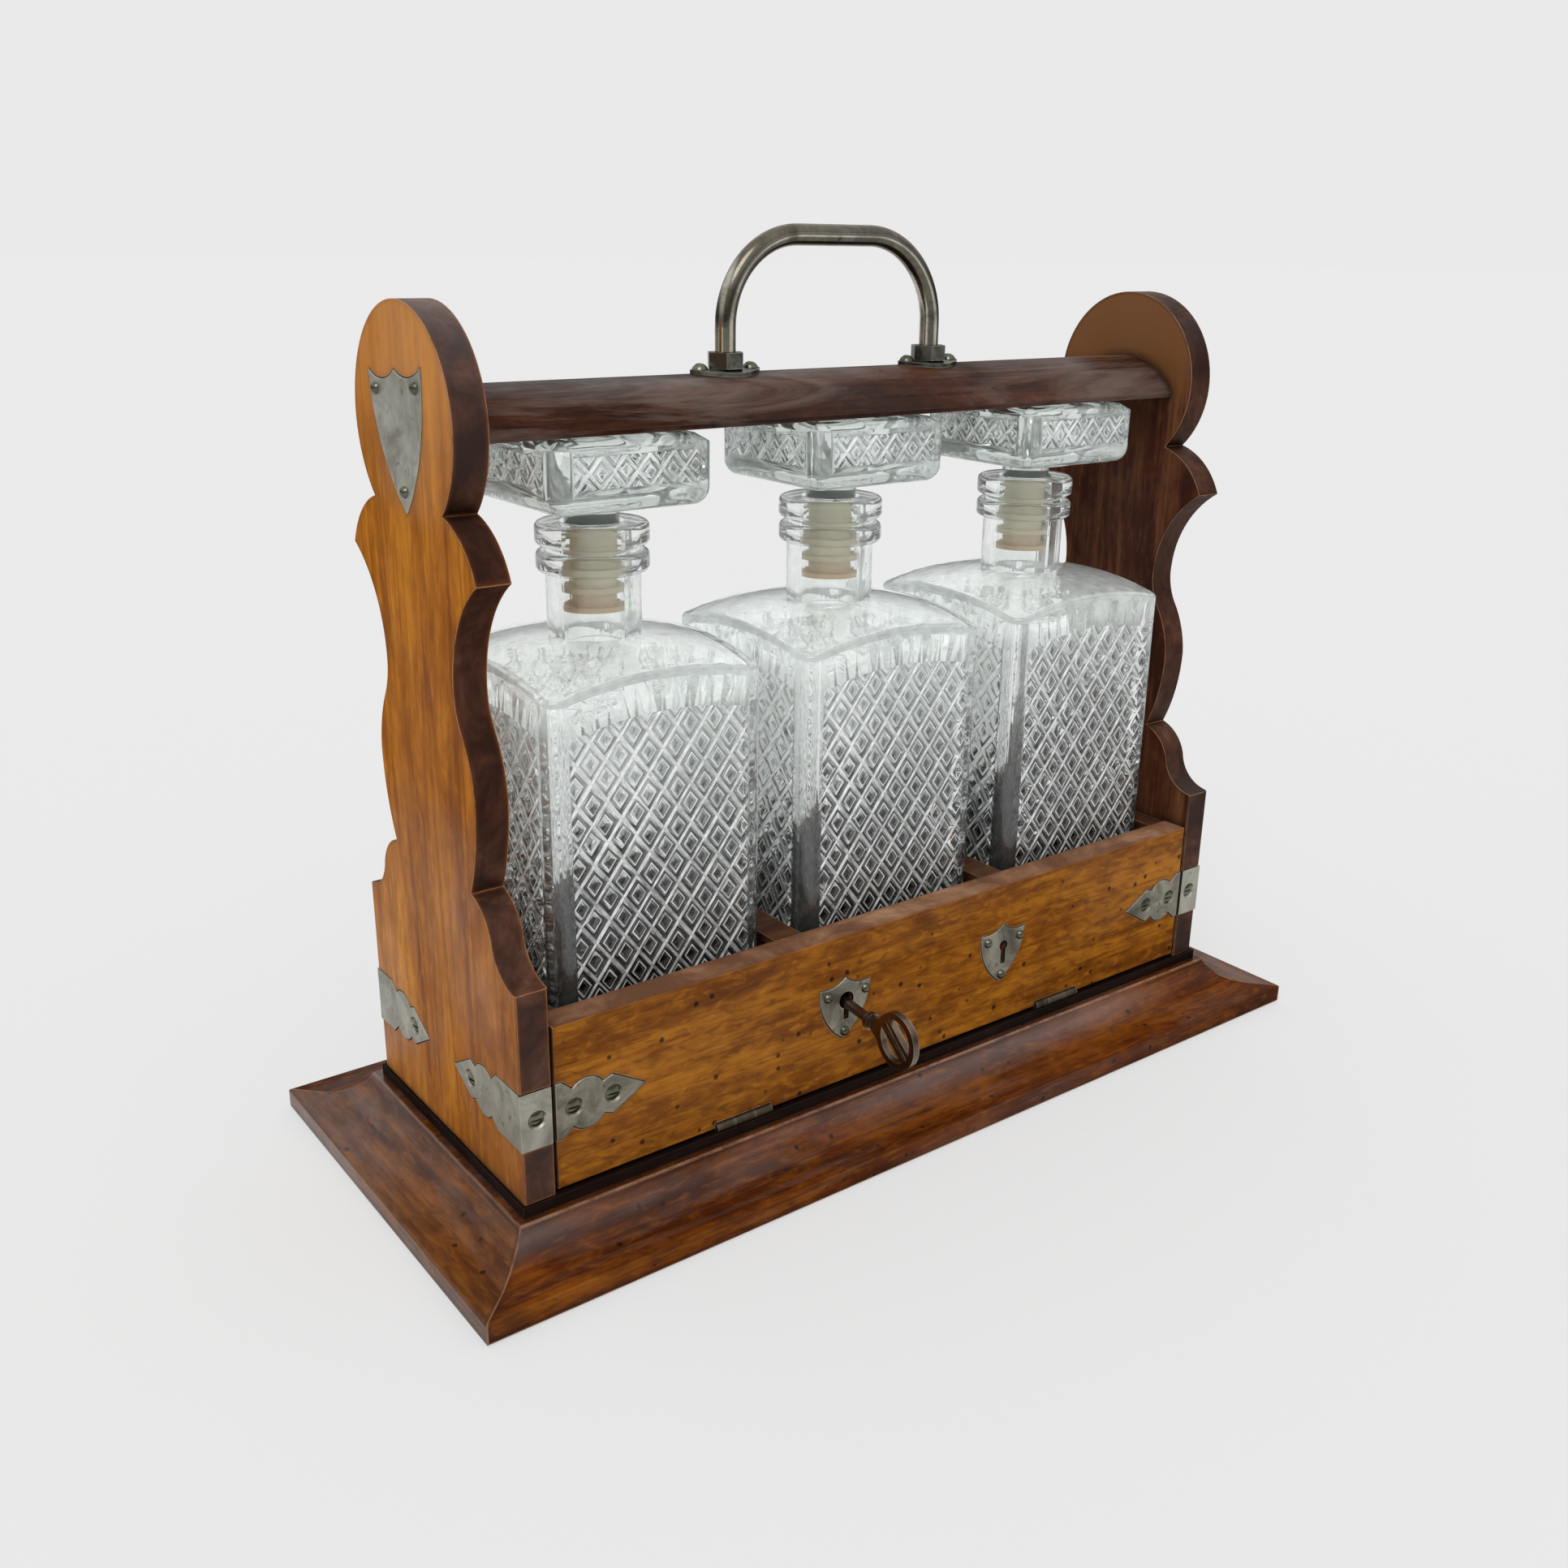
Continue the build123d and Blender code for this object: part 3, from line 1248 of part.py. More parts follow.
# ---------------------------------------------------------------- key
# The key hangs a little in its wide hole. Its own z runs out of the lock along the shaft.
droop = radians(KEY_DROOP)
key_plane = Plane(
    origin=(LEFT_KEY_X, pivot_y, key_z), x_dir=(1, 0, 0), z_dir=(0, -cos(droop), -sin(droop))
)
shaft_start = LOCK_PLATE_THICKNESS / 2 + KEY_END_CLEARANCE
collar_start = pivot_y - front_face + KEY_STANDOFF
collar_end = collar_start + KEY_COLLAR_LENGTH
bow_middle = collar_end + KEY_NECK_LENGTH + KEY_BOW_LENGTH / 2
bow_plane = Plane(origin=key_plane.origin, x_dir=key_plane.z_dir, z_dir=(-1, 0, 0))
with BuildPart() as key:
    with BuildSketch(key_plane.offset(-LOCK_PLATE_THICKNESS / 4)):
        Circle(KEY_PIVOT_RADIUS)
    extrude(amount=LOCK_PLATE_THICKNESS / 4 + shaft_start)
    with BuildSketch(key_plane.offset(shaft_start)):
        Circle(KEY_SHAFT_RADIUS)
    extrude(amount=collar_end - shaft_start)
    with BuildSketch(key_plane.offset(shaft_start + KEY_END_CLEARANCE)):
        with Locations((0, -KEY_BIT_RADIUS / 2)):
            Rectangle(KEY_BIT_THICKNESS, KEY_BIT_RADIUS)
    extrude(amount=KEY_BIT_LENGTH)
    with BuildSketch(key_plane.offset(collar_start)):
        Circle(KEY_COLLAR_RADIUS)
    extrude(amount=KEY_COLLAR_LENGTH)
    with BuildSketch(bow_plane):
        with Locations((bow_middle, 0)):
            Ellipse(KEY_BOW_LENGTH / 2, KEY_BOW_HEIGHT / 2)
        with BuildLine():
            Polyline(
                (collar_end, KEY_SHAFT_RADIUS),
                (collar_end, -KEY_SHAFT_RADIUS),
                (bow_middle - KEY_BOW_LENGTH / 4, -KEY_BOW_HEIGHT / 3),
                (bow_middle - KEY_BOW_LENGTH / 4, KEY_BOW_HEIGHT / 3),
                close=True,
            )
        make_face()
        with Locations((bow_middle, 0)):
            Ellipse(
                KEY_BOW_LENGTH / 2 - KEY_BOW_RIM,
                KEY_BOW_HEIGHT / 2 - KEY_BOW_RIM,
                mode=Mode.SUBTRACT,
            )
        with BuildSketch(mode=Mode.PRIVATE) as bars:
            with Locations(
                (bow_middle - KEY_BAR_SPACING / 2, 0), (bow_middle + KEY_BAR_SPACING / 2, 0)
            ):
                Rectangle(KEY_BAR_WIDTH, 2 * KEY_BOW_HEIGHT, rotation=KEY_BAR_LEAN)
            with Locations((bow_middle, 0)):
                Ellipse(KEY_BOW_LENGTH / 2, KEY_BOW_HEIGHT / 2, mode=Mode.INTERSECT)
        add(bars.sketch)
    extrude(amount=KEY_BOW_THICKNESS / 2, both=True)
save(key, "key")

# ---------------------------------------------------------------- decanters
def rounded_box(x, width, corner, bottom, height):
    with BuildPart() as box:
        with BuildSketch(Plane.XY.offset(bottom)):
            with Locations((x, DECANTER_SET_BACK)):
                RectangleRounded(width, width, corner)
        extrude(amount=height)
    return box


def dome(x, radius, bottom):
    """Everything between a level and a ball whose top stands where the decanters' domes end."""
    middle = neck_bottom - DOME_RADIUS
    edge_z = middle + sqrt(radius**2 - DECANTER_WIDTH**2)
    with BuildPart() as cap:
        with BuildSketch(front_plane(x, 0, DECANTER_SET_BACK)):
            with BuildLine():
                Polyline(
                    (0, middle + radius), (0, bottom), (DECANTER_WIDTH, bottom), (DECANTER_WIDTH, edge_z)
                )
                RadiusArc((0, middle + radius), (DECANTER_WIDTH, edge_z), radius)
            make_face()
        revolve(axis=Axis((x, DECANTER_SET_BACK, 0), (0, 0, 1)))
    return cap


def decanter_hollow(x):
    """The space for the drink, and the bore of the neck."""
    bottom = decanter_bottom + DECANTER_BASE_THICKNESS
    width = DECANTER_WIDTH - 2 * DECANTER_WALL
    with BuildPart() as hollow:
        add(rounded_box(x, width, INNER_CORNER_RADIUS, bottom, BODY_HEIGHT).part)
        add(dome(x, DOME_RADIUS - DECANTER_WALL, bottom).part, mode=Mode.INTERSECT)
        with BuildSketch(Plane.XY.offset(neck_bottom - 2 * DECANTER_WALL)):
            with Locations((x, DECANTER_SET_BACK)):
                Circle(NECK_BORE_RADIUS)
        extrude(amount=rim - neck_bottom + 2 * DECANTER_WALL)
    return hollow


def decanter(x):
    """A square pressed-glass decanter with a domed shoulder and a ringed neck."""
    with BuildPart() as glass:
        add(rounded_box(x, DECANTER_WIDTH, DECANTER_CORNER_RADIUS, decanter_bottom, BODY_HEIGHT).part)
        add(dome(x, DOME_RADIUS, decanter_bottom).part, mode=Mode.INTERSECT)
        fillet(glass.faces().sort_by(Axis.Z)[0].edges(), DECANTER_FOOT_EASE)
        fillet(glass.faces().sort_by(Axis.Z)[-1].edges(), DOME_EDGE_RADIUS)
        with BuildSketch(Plane.XY.offset(neck_bottom - DECANTER_WALL / 2)):
            with Locations((x, DECANTER_SET_BACK)):
                Circle(NECK_RADIUS)
        extrude(amount=rim - neck_bottom + DECANTER_WALL / 2)
        with BuildSketch(Plane.XY.offset(lower_ring_bottom)):
            with Locations((x, DECANTER_SET_BACK)):
                Circle(LOWER_RING_RADIUS)
        extrude(amount=LOWER_RING_HEIGHT)
        with BuildSketch(Plane.XY.offset(upper_ring_bottom)):
            with Locations((x, DECANTER_SET_BACK)):
                Circle(UPPER_RING_RADIUS)
        extrude(amount=UPPER_RING_HEIGHT)
        rings = glass.edges().filter_by(GeomType.CIRCLE).filter_by_position(
            Axis.Z, lower_ring_bottom, rim
        )
        fillet(rings.filter_by(lambda edge: edge.radius > NECK_RADIUS), RING_EASE)
        add(decanter_hollow(x).part, mode=Mode.SUBTRACT)
    return glass


seal_top = rim - SEAL_BELOW_RIM
seal_bottom = seal_top - SEAL_LENGTH
rib_pitch = (SEAL_LENGTH - SEAL_RIB_HEIGHT) / (SEAL_RIBS - 1)


def stopper(x):
    """A square pressed-glass stopper with a round stem and a thinner peg for its seal."""
    with BuildPart() as glass:
        add(
            rounded_box(
                x, STOPPER_WIDTH, STOPPER_CORNER_RADIUS, stopper_bottom, STOPPER_HEIGHT
            ).part
        )
        chamfer(
            glass.faces().sort_by(Axis.Z)[-1].edges(), STOPPER_BEVEL_HEIGHT, STOPPER_BEVEL_RUN
        )
        fillet(glass.faces().sort_by(Axis.Z)[0].edges(), STOPPER_FOOT_RADIUS)
        with BuildSketch(Plane.XY.offset(seal_top)):
            with Locations((x, DECANTER_SET_BACK)):
                Circle(STEM_RADIUS)
        extrude(amount=stopper_bottom - seal_top)
        with BuildSketch(Plane.XY.offset(seal_bottom)):
            with Locations((x, DECANTER_SET_BACK)):
                Circle(PEG_RADIUS)
        extrude(amount=SEAL_LENGTH)
    return glass


def seal(x):
    """A ribbed sleeve on the stopper's peg."""
    with BuildPart() as sleeve:
        with BuildSketch(Plane.XY.offset(seal_bottom)):
            with Locations((x, DECANTER_SET_BACK)):
                Circle(SEAL_CORE_RADIUS)
        extrude(amount=SEAL_LENGTH)
        for rib in range(SEAL_RIBS):
            with BuildSketch(Plane.XY.offset(seal_bottom + rib * rib_pitch)):
                with Locations((x, DECANTER_SET_BACK)):
                    Circle(NECK_BORE_RADIUS - SEAL_RIB_CLEARANCE)
            extrude(amount=SEAL_RIB_HEIGHT)
        with BuildSketch(Plane.XY.offset(seal_bottom)):
            with Locations((x, DECANTER_SET_BACK)):
                Circle(PEG_RADIUS)
        extrude(amount=SEAL_LENGTH, mode=Mode.SUBTRACT)
    return sleeve


for place_name, centre in zip(("left", "middle", "right"), bay_centres):
    save(decanter(centre), f"decanter_{place_name}")
    save(stopper(centre), f"stopper_{place_name}")
    save(seal(centre), f"seal_{place_name}")
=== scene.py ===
import json
import math
import random

import bmesh
import bpy
from mathutils import Matrix, Vector

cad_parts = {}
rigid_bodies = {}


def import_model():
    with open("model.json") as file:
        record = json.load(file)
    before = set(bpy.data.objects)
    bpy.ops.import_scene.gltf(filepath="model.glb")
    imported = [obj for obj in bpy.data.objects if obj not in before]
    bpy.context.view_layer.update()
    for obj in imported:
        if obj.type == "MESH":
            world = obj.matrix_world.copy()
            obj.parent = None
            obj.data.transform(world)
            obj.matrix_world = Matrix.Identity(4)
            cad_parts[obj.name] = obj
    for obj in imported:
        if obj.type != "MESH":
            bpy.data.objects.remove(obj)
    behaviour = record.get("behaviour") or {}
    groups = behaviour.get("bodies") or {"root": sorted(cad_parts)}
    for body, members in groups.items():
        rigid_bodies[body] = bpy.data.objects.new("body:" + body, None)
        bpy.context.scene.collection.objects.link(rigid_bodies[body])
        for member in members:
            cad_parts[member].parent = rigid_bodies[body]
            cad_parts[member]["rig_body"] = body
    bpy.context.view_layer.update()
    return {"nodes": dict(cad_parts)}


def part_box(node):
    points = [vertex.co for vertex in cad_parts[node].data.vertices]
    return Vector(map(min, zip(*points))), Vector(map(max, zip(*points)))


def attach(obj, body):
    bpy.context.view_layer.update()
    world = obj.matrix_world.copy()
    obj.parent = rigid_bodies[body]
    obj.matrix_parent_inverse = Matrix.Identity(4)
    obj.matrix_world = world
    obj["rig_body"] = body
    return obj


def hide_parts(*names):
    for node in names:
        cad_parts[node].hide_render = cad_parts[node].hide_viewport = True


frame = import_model()
nodes = frame["nodes"]
MM = 0.001
# The height that by_height spans, just under the top of the handle.
TOP = 0.3


# ---------------------------------------------------------------- node helpers
class Shader:
    """A material under construction, with short calls for its usual nodes."""

    def __init__(self, name):
        self.material = bpy.data.materials.new(name)
        self.material.use_nodes = True
        self.tree = self.material.node_tree
        self.bsdf = self.tree.nodes["Principled BSDF"]
        self.place = self.node("ShaderNodeTexCoord").outputs["Object"]
        self.normal = self.node("ShaderNodeTexCoord").outputs["Normal"]

    def node(self, kind, **settings):
        made = self.tree.nodes.new(kind)
        for key, value in settings.items():
            setattr(made, key, value)
        return made

    def feed(self, socket, value):
        if isinstance(value, bpy.types.NodeSocket):
            self.tree.links.new(value, socket)
        else:
            socket.default_value = value

    def set(self, **values):
        for key, value in values.items():
            self.feed(self.bsdf.inputs[key.replace("_", " ").title().replace("Ior", "IOR")], value)

    def mapped(self, scale, offset=(0, 0, 0), turn=(0, 0, 0)):
        node = self.node("ShaderNodeMapping")
        self.feed(node.inputs["Vector"], self.place)
        node.inputs["Scale"].default_value = scale
        node.inputs["Location"].default_value = offset
        node.inputs["Rotation"].default_value = turn
        return node.outputs["Vector"]

    def noise(self, place, scale, detail=4.0, rough=0.55, distort=0.0):
        node = self.node("ShaderNodeTexNoise")
        self.feed(node.inputs["Vector"], place)
        node.inputs["Scale"].default_value = scale
        node.inputs["Detail"].default_value = detail
        node.inputs["Roughness"].default_value = rough
        node.inputs["Distortion"].default_value = distort
        return node.outputs["Fac"]

    def cells(self, place, scale, feature="F1"):
        node = self.node("ShaderNodeTexVoronoi", feature=feature)
        self.feed(node.inputs["Vector"], place)
        node.inputs["Scale"].default_value = scale
        return node

    def range(self, value, low, high, to_low=0.0, to_high=1.0):
        node = self.node("ShaderNodeMapRange")
        self.feed(node.inputs["Value"], value)
        node.inputs["From Min"].default_value = low
        node.inputs["From Max"].default_value = high
        node.inputs["To Min"].default_value = to_low
        node.inputs["To Max"].default_value = to_high
        return node.outputs["Result"]

    def math(self, operation, a, b=0.0):
        node = self.node("ShaderNodeMath", operation=operation)
        self.feed(node.inputs[0], a)
        self.feed(node.inputs[1], b)
        return node.outputs["Value"]

    def mix(self, fac, a, b, blend="MIX"):
        node = self.node("ShaderNodeMix", data_type="RGBA", blend_type=blend)
        self.feed(node.inputs["Factor"], fac)
        self.feed(node.inputs["A"], self.colour(a))
        self.feed(node.inputs["B"], self.colour(b))
        return node.outputs["Result"]

    @staticmethod
    def colour(value):
        return (*value, 1.0) if isinstance(value, tuple) and len(value) == 3 else value

    def ramp(self, fac, stops):
        node = self.node("ShaderNodeValToRGB")
        self.feed(node.inputs["Fac"], fac)
        elements = node.color_ramp.elements
        while len(elements) < len(stops):
            elements.new(0.5)
        for element, (position, colour) in zip(elements, stops):
            element.position = position
            element.color = self.colour(colour)
        return node.outputs["Color"]

    def bump(self, height, strength, distance):
        node = self.node("ShaderNodeBump")
        self.feed(node.inputs["Height"], height)
        node.inputs["Strength"].default_value = strength
        node.inputs["Distance"].default_value = distance
        return node.outputs["Normal"]

    def facing(self, axis):
        """How far the surface's own normal leans along an axis, 0 to 1."""
        split = self.node("ShaderNodeSeparateXYZ")
        self.feed(split.inputs["Vector"], self.normal)
        return self.math("ABSOLUTE", split.outputs[axis])

    def axis(self, axis):
        split = self.node("ShaderNodeSeparateXYZ")
        self.feed(split.inputs["Vector"], self.place)
        return split.outputs[axis]

    def by_height(self, levels):
        """A value that follows the height above the floor, from pairs of metres and values."""
        grey = [(height / TOP, (value, value, value)) for height, value in levels]
        return self.ramp(self.range(self.axis("Z"), 0.0, TOP), grey)


# ---------------------------------------------------------------- wood
GRAIN = {"X": (1, 0, 0), "Y": (0, 1, 0), "Z": (0, 0, 1)}
# The tone of worm holes and specks, and of the painted shade in corners.
HOLE_AND_SHADE = (0.006, 0.003, 0.002)
# The grey of streaks that are partly a dusty bloom and partly a painted sheen.
DUST_AND_SHEEN = (0.20, 0.145, 0.125)
# How fine each pattern is, in noise cells per metre.
FIGURE, MOTTLE, CHIPS, PORES = 85, 22, 330, 900
SAWN, DUST_AND_SHEEN_CELLS, RUB, GLOSS, HAZE = 38, 60, 110, 45, 14
# How far each pattern is squeezed along the grain, which draws it out there.
FIGURE_STRETCH, CHIP_STRETCH, PORE_STRETCH = 0.09, 0.35, 0.02
DUST_AND_SHEEN_STRETCH, HAZE_STRETCH = 0.12, 0.4
# How far, and with how many rays, the painted shade in corners looks for nearby surfaces.
PAINTED_SHADE_REACH = 4.0 * MM
PAINTED_SHADE_SAMPLES = 4
RIM_REACH = 2.4 * MM
RIM_SAMPLES = 4
RUBBED_SAMPLES = 6
# Dark spots: cells per metre, the spot's inner and outer radius in cells, and its depth.
SPECK = (150, 0.10, 0.19, 0.6)
WORM_HOLE = (75, 0.06, 0.10, 4.0)


def stretched(grain, squeeze):
    """Scales that draw a pattern out along the grain."""
    return tuple(squeeze if along else 1.0 for along in GRAIN[grain])


def arris(s, reach, samples=RUBBED_SAMPLES):
    """Where a surface comes within reach of one of its own arrises, 0 to 1."""
    rounded = s.node("ShaderNodeBevel")
    rounded.samples = samples
    rounded.inputs["Radius"].default_value = reach
    across = s.node("ShaderNodeVectorMath", operation="DOT_PRODUCT")
    s.feed(across.inputs[0], rounded.outputs["Normal"])
    s.feed(across.inputs[1], s.node("ShaderNodeNewGeometry").outputs["Normal"])
    return s.range(across.outputs["Value"], 0.985, 0.86)


def wood(name, grain, light, middle, dark, worn, edge=None, face_axis=None, shift=0.0, gloss=0.45,
         shine=0.12, fleck=0.45, specks=0.2, holes=0.0, dust_and_sheen=0.0, wear=0.7, reach=0.7,
         sheen=None, glow=None):
    """Polished old timber: bands, mottles, flecks, dark pores, worm holes and rubbed arrises.

    edge gives three tones for the sawn faces, which are those that don't face along face_axis.
    sheen changes the gloss by height, and glow lightens the tone by height as painted light.
    Grey streaks stand for a dusty bloom and a painted sheen, and ambient occlusion darkens the
    corners towards the hole tone as painted shade. reach is in millimetres."""
    s = Shader(name)
    whole = s.mapped((1, 1, 1), offset=(shift, shift, shift))
    along = s.mapped(stretched(grain, FIGURE_STRETCH), offset=(shift, shift * 0.7, shift * 1.3))
    short = s.mapped(stretched(grain, CHIP_STRETCH), offset=(shift, 0, shift * 0.4))
    long = s.mapped(stretched(grain, PORE_STRETCH), offset=(shift, 0, shift))
    figure = s.noise(along, FIGURE, detail=5, rough=0.6, distort=0.8)
    colour = s.ramp(figure, ((0.28, dark), (0.50, middle), (0.72, light)))
    mottle = s.noise(whole, MOTTLE, detail=4, rough=0.6, distort=0.4)
    colour = s.mix(s.range(mottle, 0.46, 0.72, 0.0, 0.75), colour, dark)
    colour = s.mix(s.range(mottle, 0.46, 0.28, 0.0, 0.45), colour, light)
    chips = s.noise(short, CHIPS, detail=3, rough=0.6, distort=0.5)
    colour = s.mix(s.range(chips, 0.50, 0.68, 0.0, fleck), colour, dark)
    colour = s.mix(s.range(chips, 0.48, 0.30, 0.0, fleck), colour, light)
    lines = s.noise(long, PORES, detail=3, rough=0.6)
    colour = s.mix(s.range(lines, 0.52, 0.66, 0.0, 0.45), colour, dark)
    height = s.math("SUBTRACT", s.math("MULTIPLY", chips, 0.5), s.math("MULTIPLY", lines, 0.5))
    for chance, (scale, low, high, depth) in ((specks, SPECK), (holes, WORM_HOLE)):
        if not chance:
            continue
        cell = s.cells(s.mapped((1, 1, 1), offset=(shift * 3, shift, scale)), scale)
        draw = s.node("ShaderNodeSeparateColor")
        s.feed(draw.inputs["Color"], cell.outputs["Color"])
        spot = s.math("MULTIPLY", s.range(cell.outputs["Distance"], low, high, 1.0, 0.0),
                      s.math("LESS_THAN", draw.outputs["Red"], chance))
        colour = s.mix(s.math("MULTIPLY", spot, 0.85), colour, HOLE_AND_SHADE)
        height = s.math("SUBTRACT", height, s.math("MULTIPLY", spot, depth))
    # Painted light: the tone goes over to the light one by height, lighter where light falls.
    if glow:
        colour = s.mix(s.by_height(glow), colour, light)
    if edge:
        side = s.range(s.facing(face_axis), 0.55, 0.9, 1.0, 0.0)
        tone = s.ramp(s.noise(whole, SAWN, 5, 0.65, 0.6), tuple(zip((0.40, 0.55, 0.72), edge)))
        colour = s.mix(side, colour, s.mix(s.range(chips, 0.45, 0.65, 0.0, 0.5), tone, edge[0]))
    # Grey streaks, partly a dusty bloom on the finish and partly a painted sheen.
    if dust_and_sheen:
        drawn = s.mapped(stretched(grain, DUST_AND_SHEEN_STRETCH), offset=(shift, 4, 2))
        dust_and_sheen_streaks = s.noise(drawn, DUST_AND_SHEEN_CELLS, 6, 0.7, 1.0)
        colour = s.mix(s.range(dust_and_sheen_streaks, 0.48, 0.66, 0.0, dust_and_sheen), colour, DUST_AND_SHEEN)
    # Painted shade: darker towards the hole tone where ambient occlusion finds corners.
    corner_shade = s.node("ShaderNodeAmbientOcclusion")
    corner_shade.samples = PAINTED_SHADE_SAMPLES
    corner_shade.inputs["Distance"].default_value = PAINTED_SHADE_REACH
    colour = s.mix(s.range(corner_shade.outputs["AO"], 0.92, 0.45, 0.0, 0.8), colour, HOLE_AND_SHADE)
    rim = s.math("MULTIPLY", arris(s, RIM_REACH, RIM_SAMPLES),
                 s.range(mottle, 0.35, 0.6, 0.35, 0.85))
    colour = s.mix(rim, colour, dark)
    rubbed = s.math("MULTIPLY", arris(s, reach * MM),
                    s.range(s.noise(whole, RUB, 5, 0.7), 0.34, 0.56, 0.15, wear))
    colour = s.mix(rubbed, colour, worn)
    drawn = s.mapped(stretched(grain, HAZE_STRETCH), offset=(shift, shift, 9))
    haze = s.noise(drawn, HAZE, 3, 0.5)
    polish = s.range(haze, 0.38, 0.62, shine * 0.25, shine * 2.2)
    if sheen:
        polish = s.math("MULTIPLY", polish, s.by_height(sheen))
    s.set(Base_Color=colour)
    s.set(Roughness=s.range(s.noise(whole, GLOSS, 5, 0.65), 0.3, 0.7, gloss - 0.08, gloss + 0.14))
    s.feed(s.bsdf.inputs["Specular IOR Level"], polish)
    s.set(Normal=s.bump(height, 0.35, 0.0004))
    return s.material


# ---------------------------------------------------------------- metal, glass, cloth
RUST_SPOT = (0.03, 0.025, 0.018)
BRASS = (0.38, 0.27, 0.12)
BRIGHT_METAL = (0.62, 0.58, 0.50)
BRIGHT_EDGE_REACH = 0.45 * MM
GLASS_IOR = 1.5
PAINTED_GLOW_TONE = (0.92, 1.0, 0.97, 1)


def metal(name, light, dark, rough, stain, brass=0.0, bright_edge=0.6, painted_reflection=None):
    """Old plated metal: scratched, spotted, darker where the polish has not reached. The
    polished tone is a painted reflection, a bright band where a surface looks forward or to an
    end, as the photograph shows it on the handle. It follows the surface's own normal and not
    the camera."""
    s = Shader(name)
    whole = s.mapped((1, 1, 1))
    cloud = s.noise(whole, 70, 6, 0.65, 0.8)
    fine = s.noise(whole, 620, 3, 0.6)
    colour = s.mix(s.range(cloud, 0.40, 0.66, 0.0, stain), light, dark)
    spot = s.range(s.noise(whole, 260, 4, 0.75), 0.62, 0.72, 0.0, 0.8)
    colour = s.mix(spot, colour, RUST_SPOT)
    colour = s.mix(s.range(s.noise(whole, 24, 3, 0.5), 0.5, 0.7, 0.0, brass), colour, BRASS)
    # Lighter arrises, partly worn bright and partly a painted highlight.
    edge = s.math("MULTIPLY", arris(s, BRIGHT_EDGE_REACH), bright_edge)
    colour = s.mix(edge, colour, BRIGHT_METAL)
    # Painted reflection: a bright band on the faces that look forward or to the ends.
    if painted_reflection:
        front = s.range(s.facing("Y"), 0.970, 0.995)
        end = s.math("MULTIPLY", s.range(s.facing("X"), 0.70, 0.80),
                     s.range(s.facing("X"), 0.98, 0.93))
        reflection_band = s.math("MULTIPLY", s.math("MAXIMUM", front, end),
                      s.range(cloud, 0.62, 0.45, 0.35, 1.0))
        colour = s.mix(reflection_band, colour, painted_reflection)
    s.set(Base_Color=colour)
    s.bsdf.inputs["Metallic"].default_value = 1.0
    s.set(Roughness=s.math("ADD", s.range(cloud, 0.3, 0.7, rough - 0.06, rough + 0.14),
                           s.math("MULTIPLY", spot, 0.3)))
    scratch = s.noise(s.mapped((1, 0.04, 0.04), turn=(0.3, 0.5, 0.2)), 2600, 2, 0.5)
    s.set(Normal=s.bump(s.math("ADD", s.math("MULTIPLY", scratch, 0.6), fine), 0.06, 0.0003))
    return s.material


def glass(name, tint, scuff_and_highlight=None, deep=None, depth=None, painted_glow=None):
    """Pressed glass with faint waves. By height, the scuff ramp whitens its surface, partly as
    wear and partly as a painted highlight; depth is how far its tint goes over to the deep one,
    which is painted shade; and the gathered ramp gives a painted glow, light that the glass
    gives off though it is no lamp."""
    s = Shader(name)
    whole = s.mapped((1, 1, 1))
    # Painted shade: by height the tint goes over to the darker deep one.
    s.set(Base_Color=s.mix(s.by_height(depth), tint, deep) if deep else s.colour(tint))
    s.bsdf.inputs["IOR"].default_value = GLASS_IOR
    s.bsdf.inputs["Transmission Weight"].default_value = 1.0
    # Whiter by height, partly with wear and partly as a painted highlight.
    if scuff_and_highlight:
        worn = s.math("MULTIPLY", s.by_height(scuff_and_highlight),
                      s.range(s.noise(whole, 210, 3, 0.6), 0.35, 0.65, 1.0, 0.4))
        s.set(Transmission_Weight=s.math("SUBTRACT", 1.0, worn))
    # Painted glow: the glass gives off light by height, though it is no lamp.
    if painted_glow:
        s.bsdf.inputs["Emission Color"].default_value = PAINTED_GLOW_TONE
        s.set(Emission_Strength=s.math("MULTIPLY", s.by_height(painted_glow),
                                       s.range(s.noise(whole, 160, 4, 0.6), 0.35, 0.65, 0.5, 1.5)))
    s.set(Roughness=s.range(s.noise(whole, 90, 3, 0.5), 0.35, 0.7, 0.0, 0.03))
    s.set(Normal=s.bump(s.noise(whole, 120, 2, 0.5), 0.05, 0.002))
    return s.material


def cloth(name, light, dark):
    """Short-napped baize."""
    s = Shader(name)
    whole = s.mapped((1, 1, 1))
    nap = s.noise(whole, 1400, 4, 0.7)
    s.set(Base_Color=s.mix(nap, dark, light), Roughness=0.95)
    s.bsdf.inputs["Sheen Weight"].default_value = 0.5
    s.set(Normal=s.bump(nap, 0.5, 0.0004))
    return s.material


def plug(name, light, dark, wet, levels):
    """A soft seal, browned by drink as far as the levels say."""
    s = Shader(name)
    whole = s.mapped((1, 1, 1))
    cloud = s.noise(whole, 90, 5, 0.6)
    s.set(Base_Color=s.mix(s.by_height(levels), s.mix(cloud, light, dark), wet),
          Roughness=s.range(cloud, 0.3, 0.7, 0.4, 0.6))
    s.bsdf.inputs["Subsurface Weight"].default_value = 0.15
    s.bsdf.inputs["Subsurface Scale"].default_value = 0.003
    s.set(Normal=s.bump(s.noise(whole, 900, 3, 0.6), 0.1, 0.0003))
    return s.material


RUBBED = (0.55, 0.30, 0.16)
RUBBED_BASE = (0.31, 0.16, 0.09)
SIDE_EDGE = ((0.030, 0.013, 0.009), (0.075, 0.030, 0.018), (0.14, 0.070, 0.040))
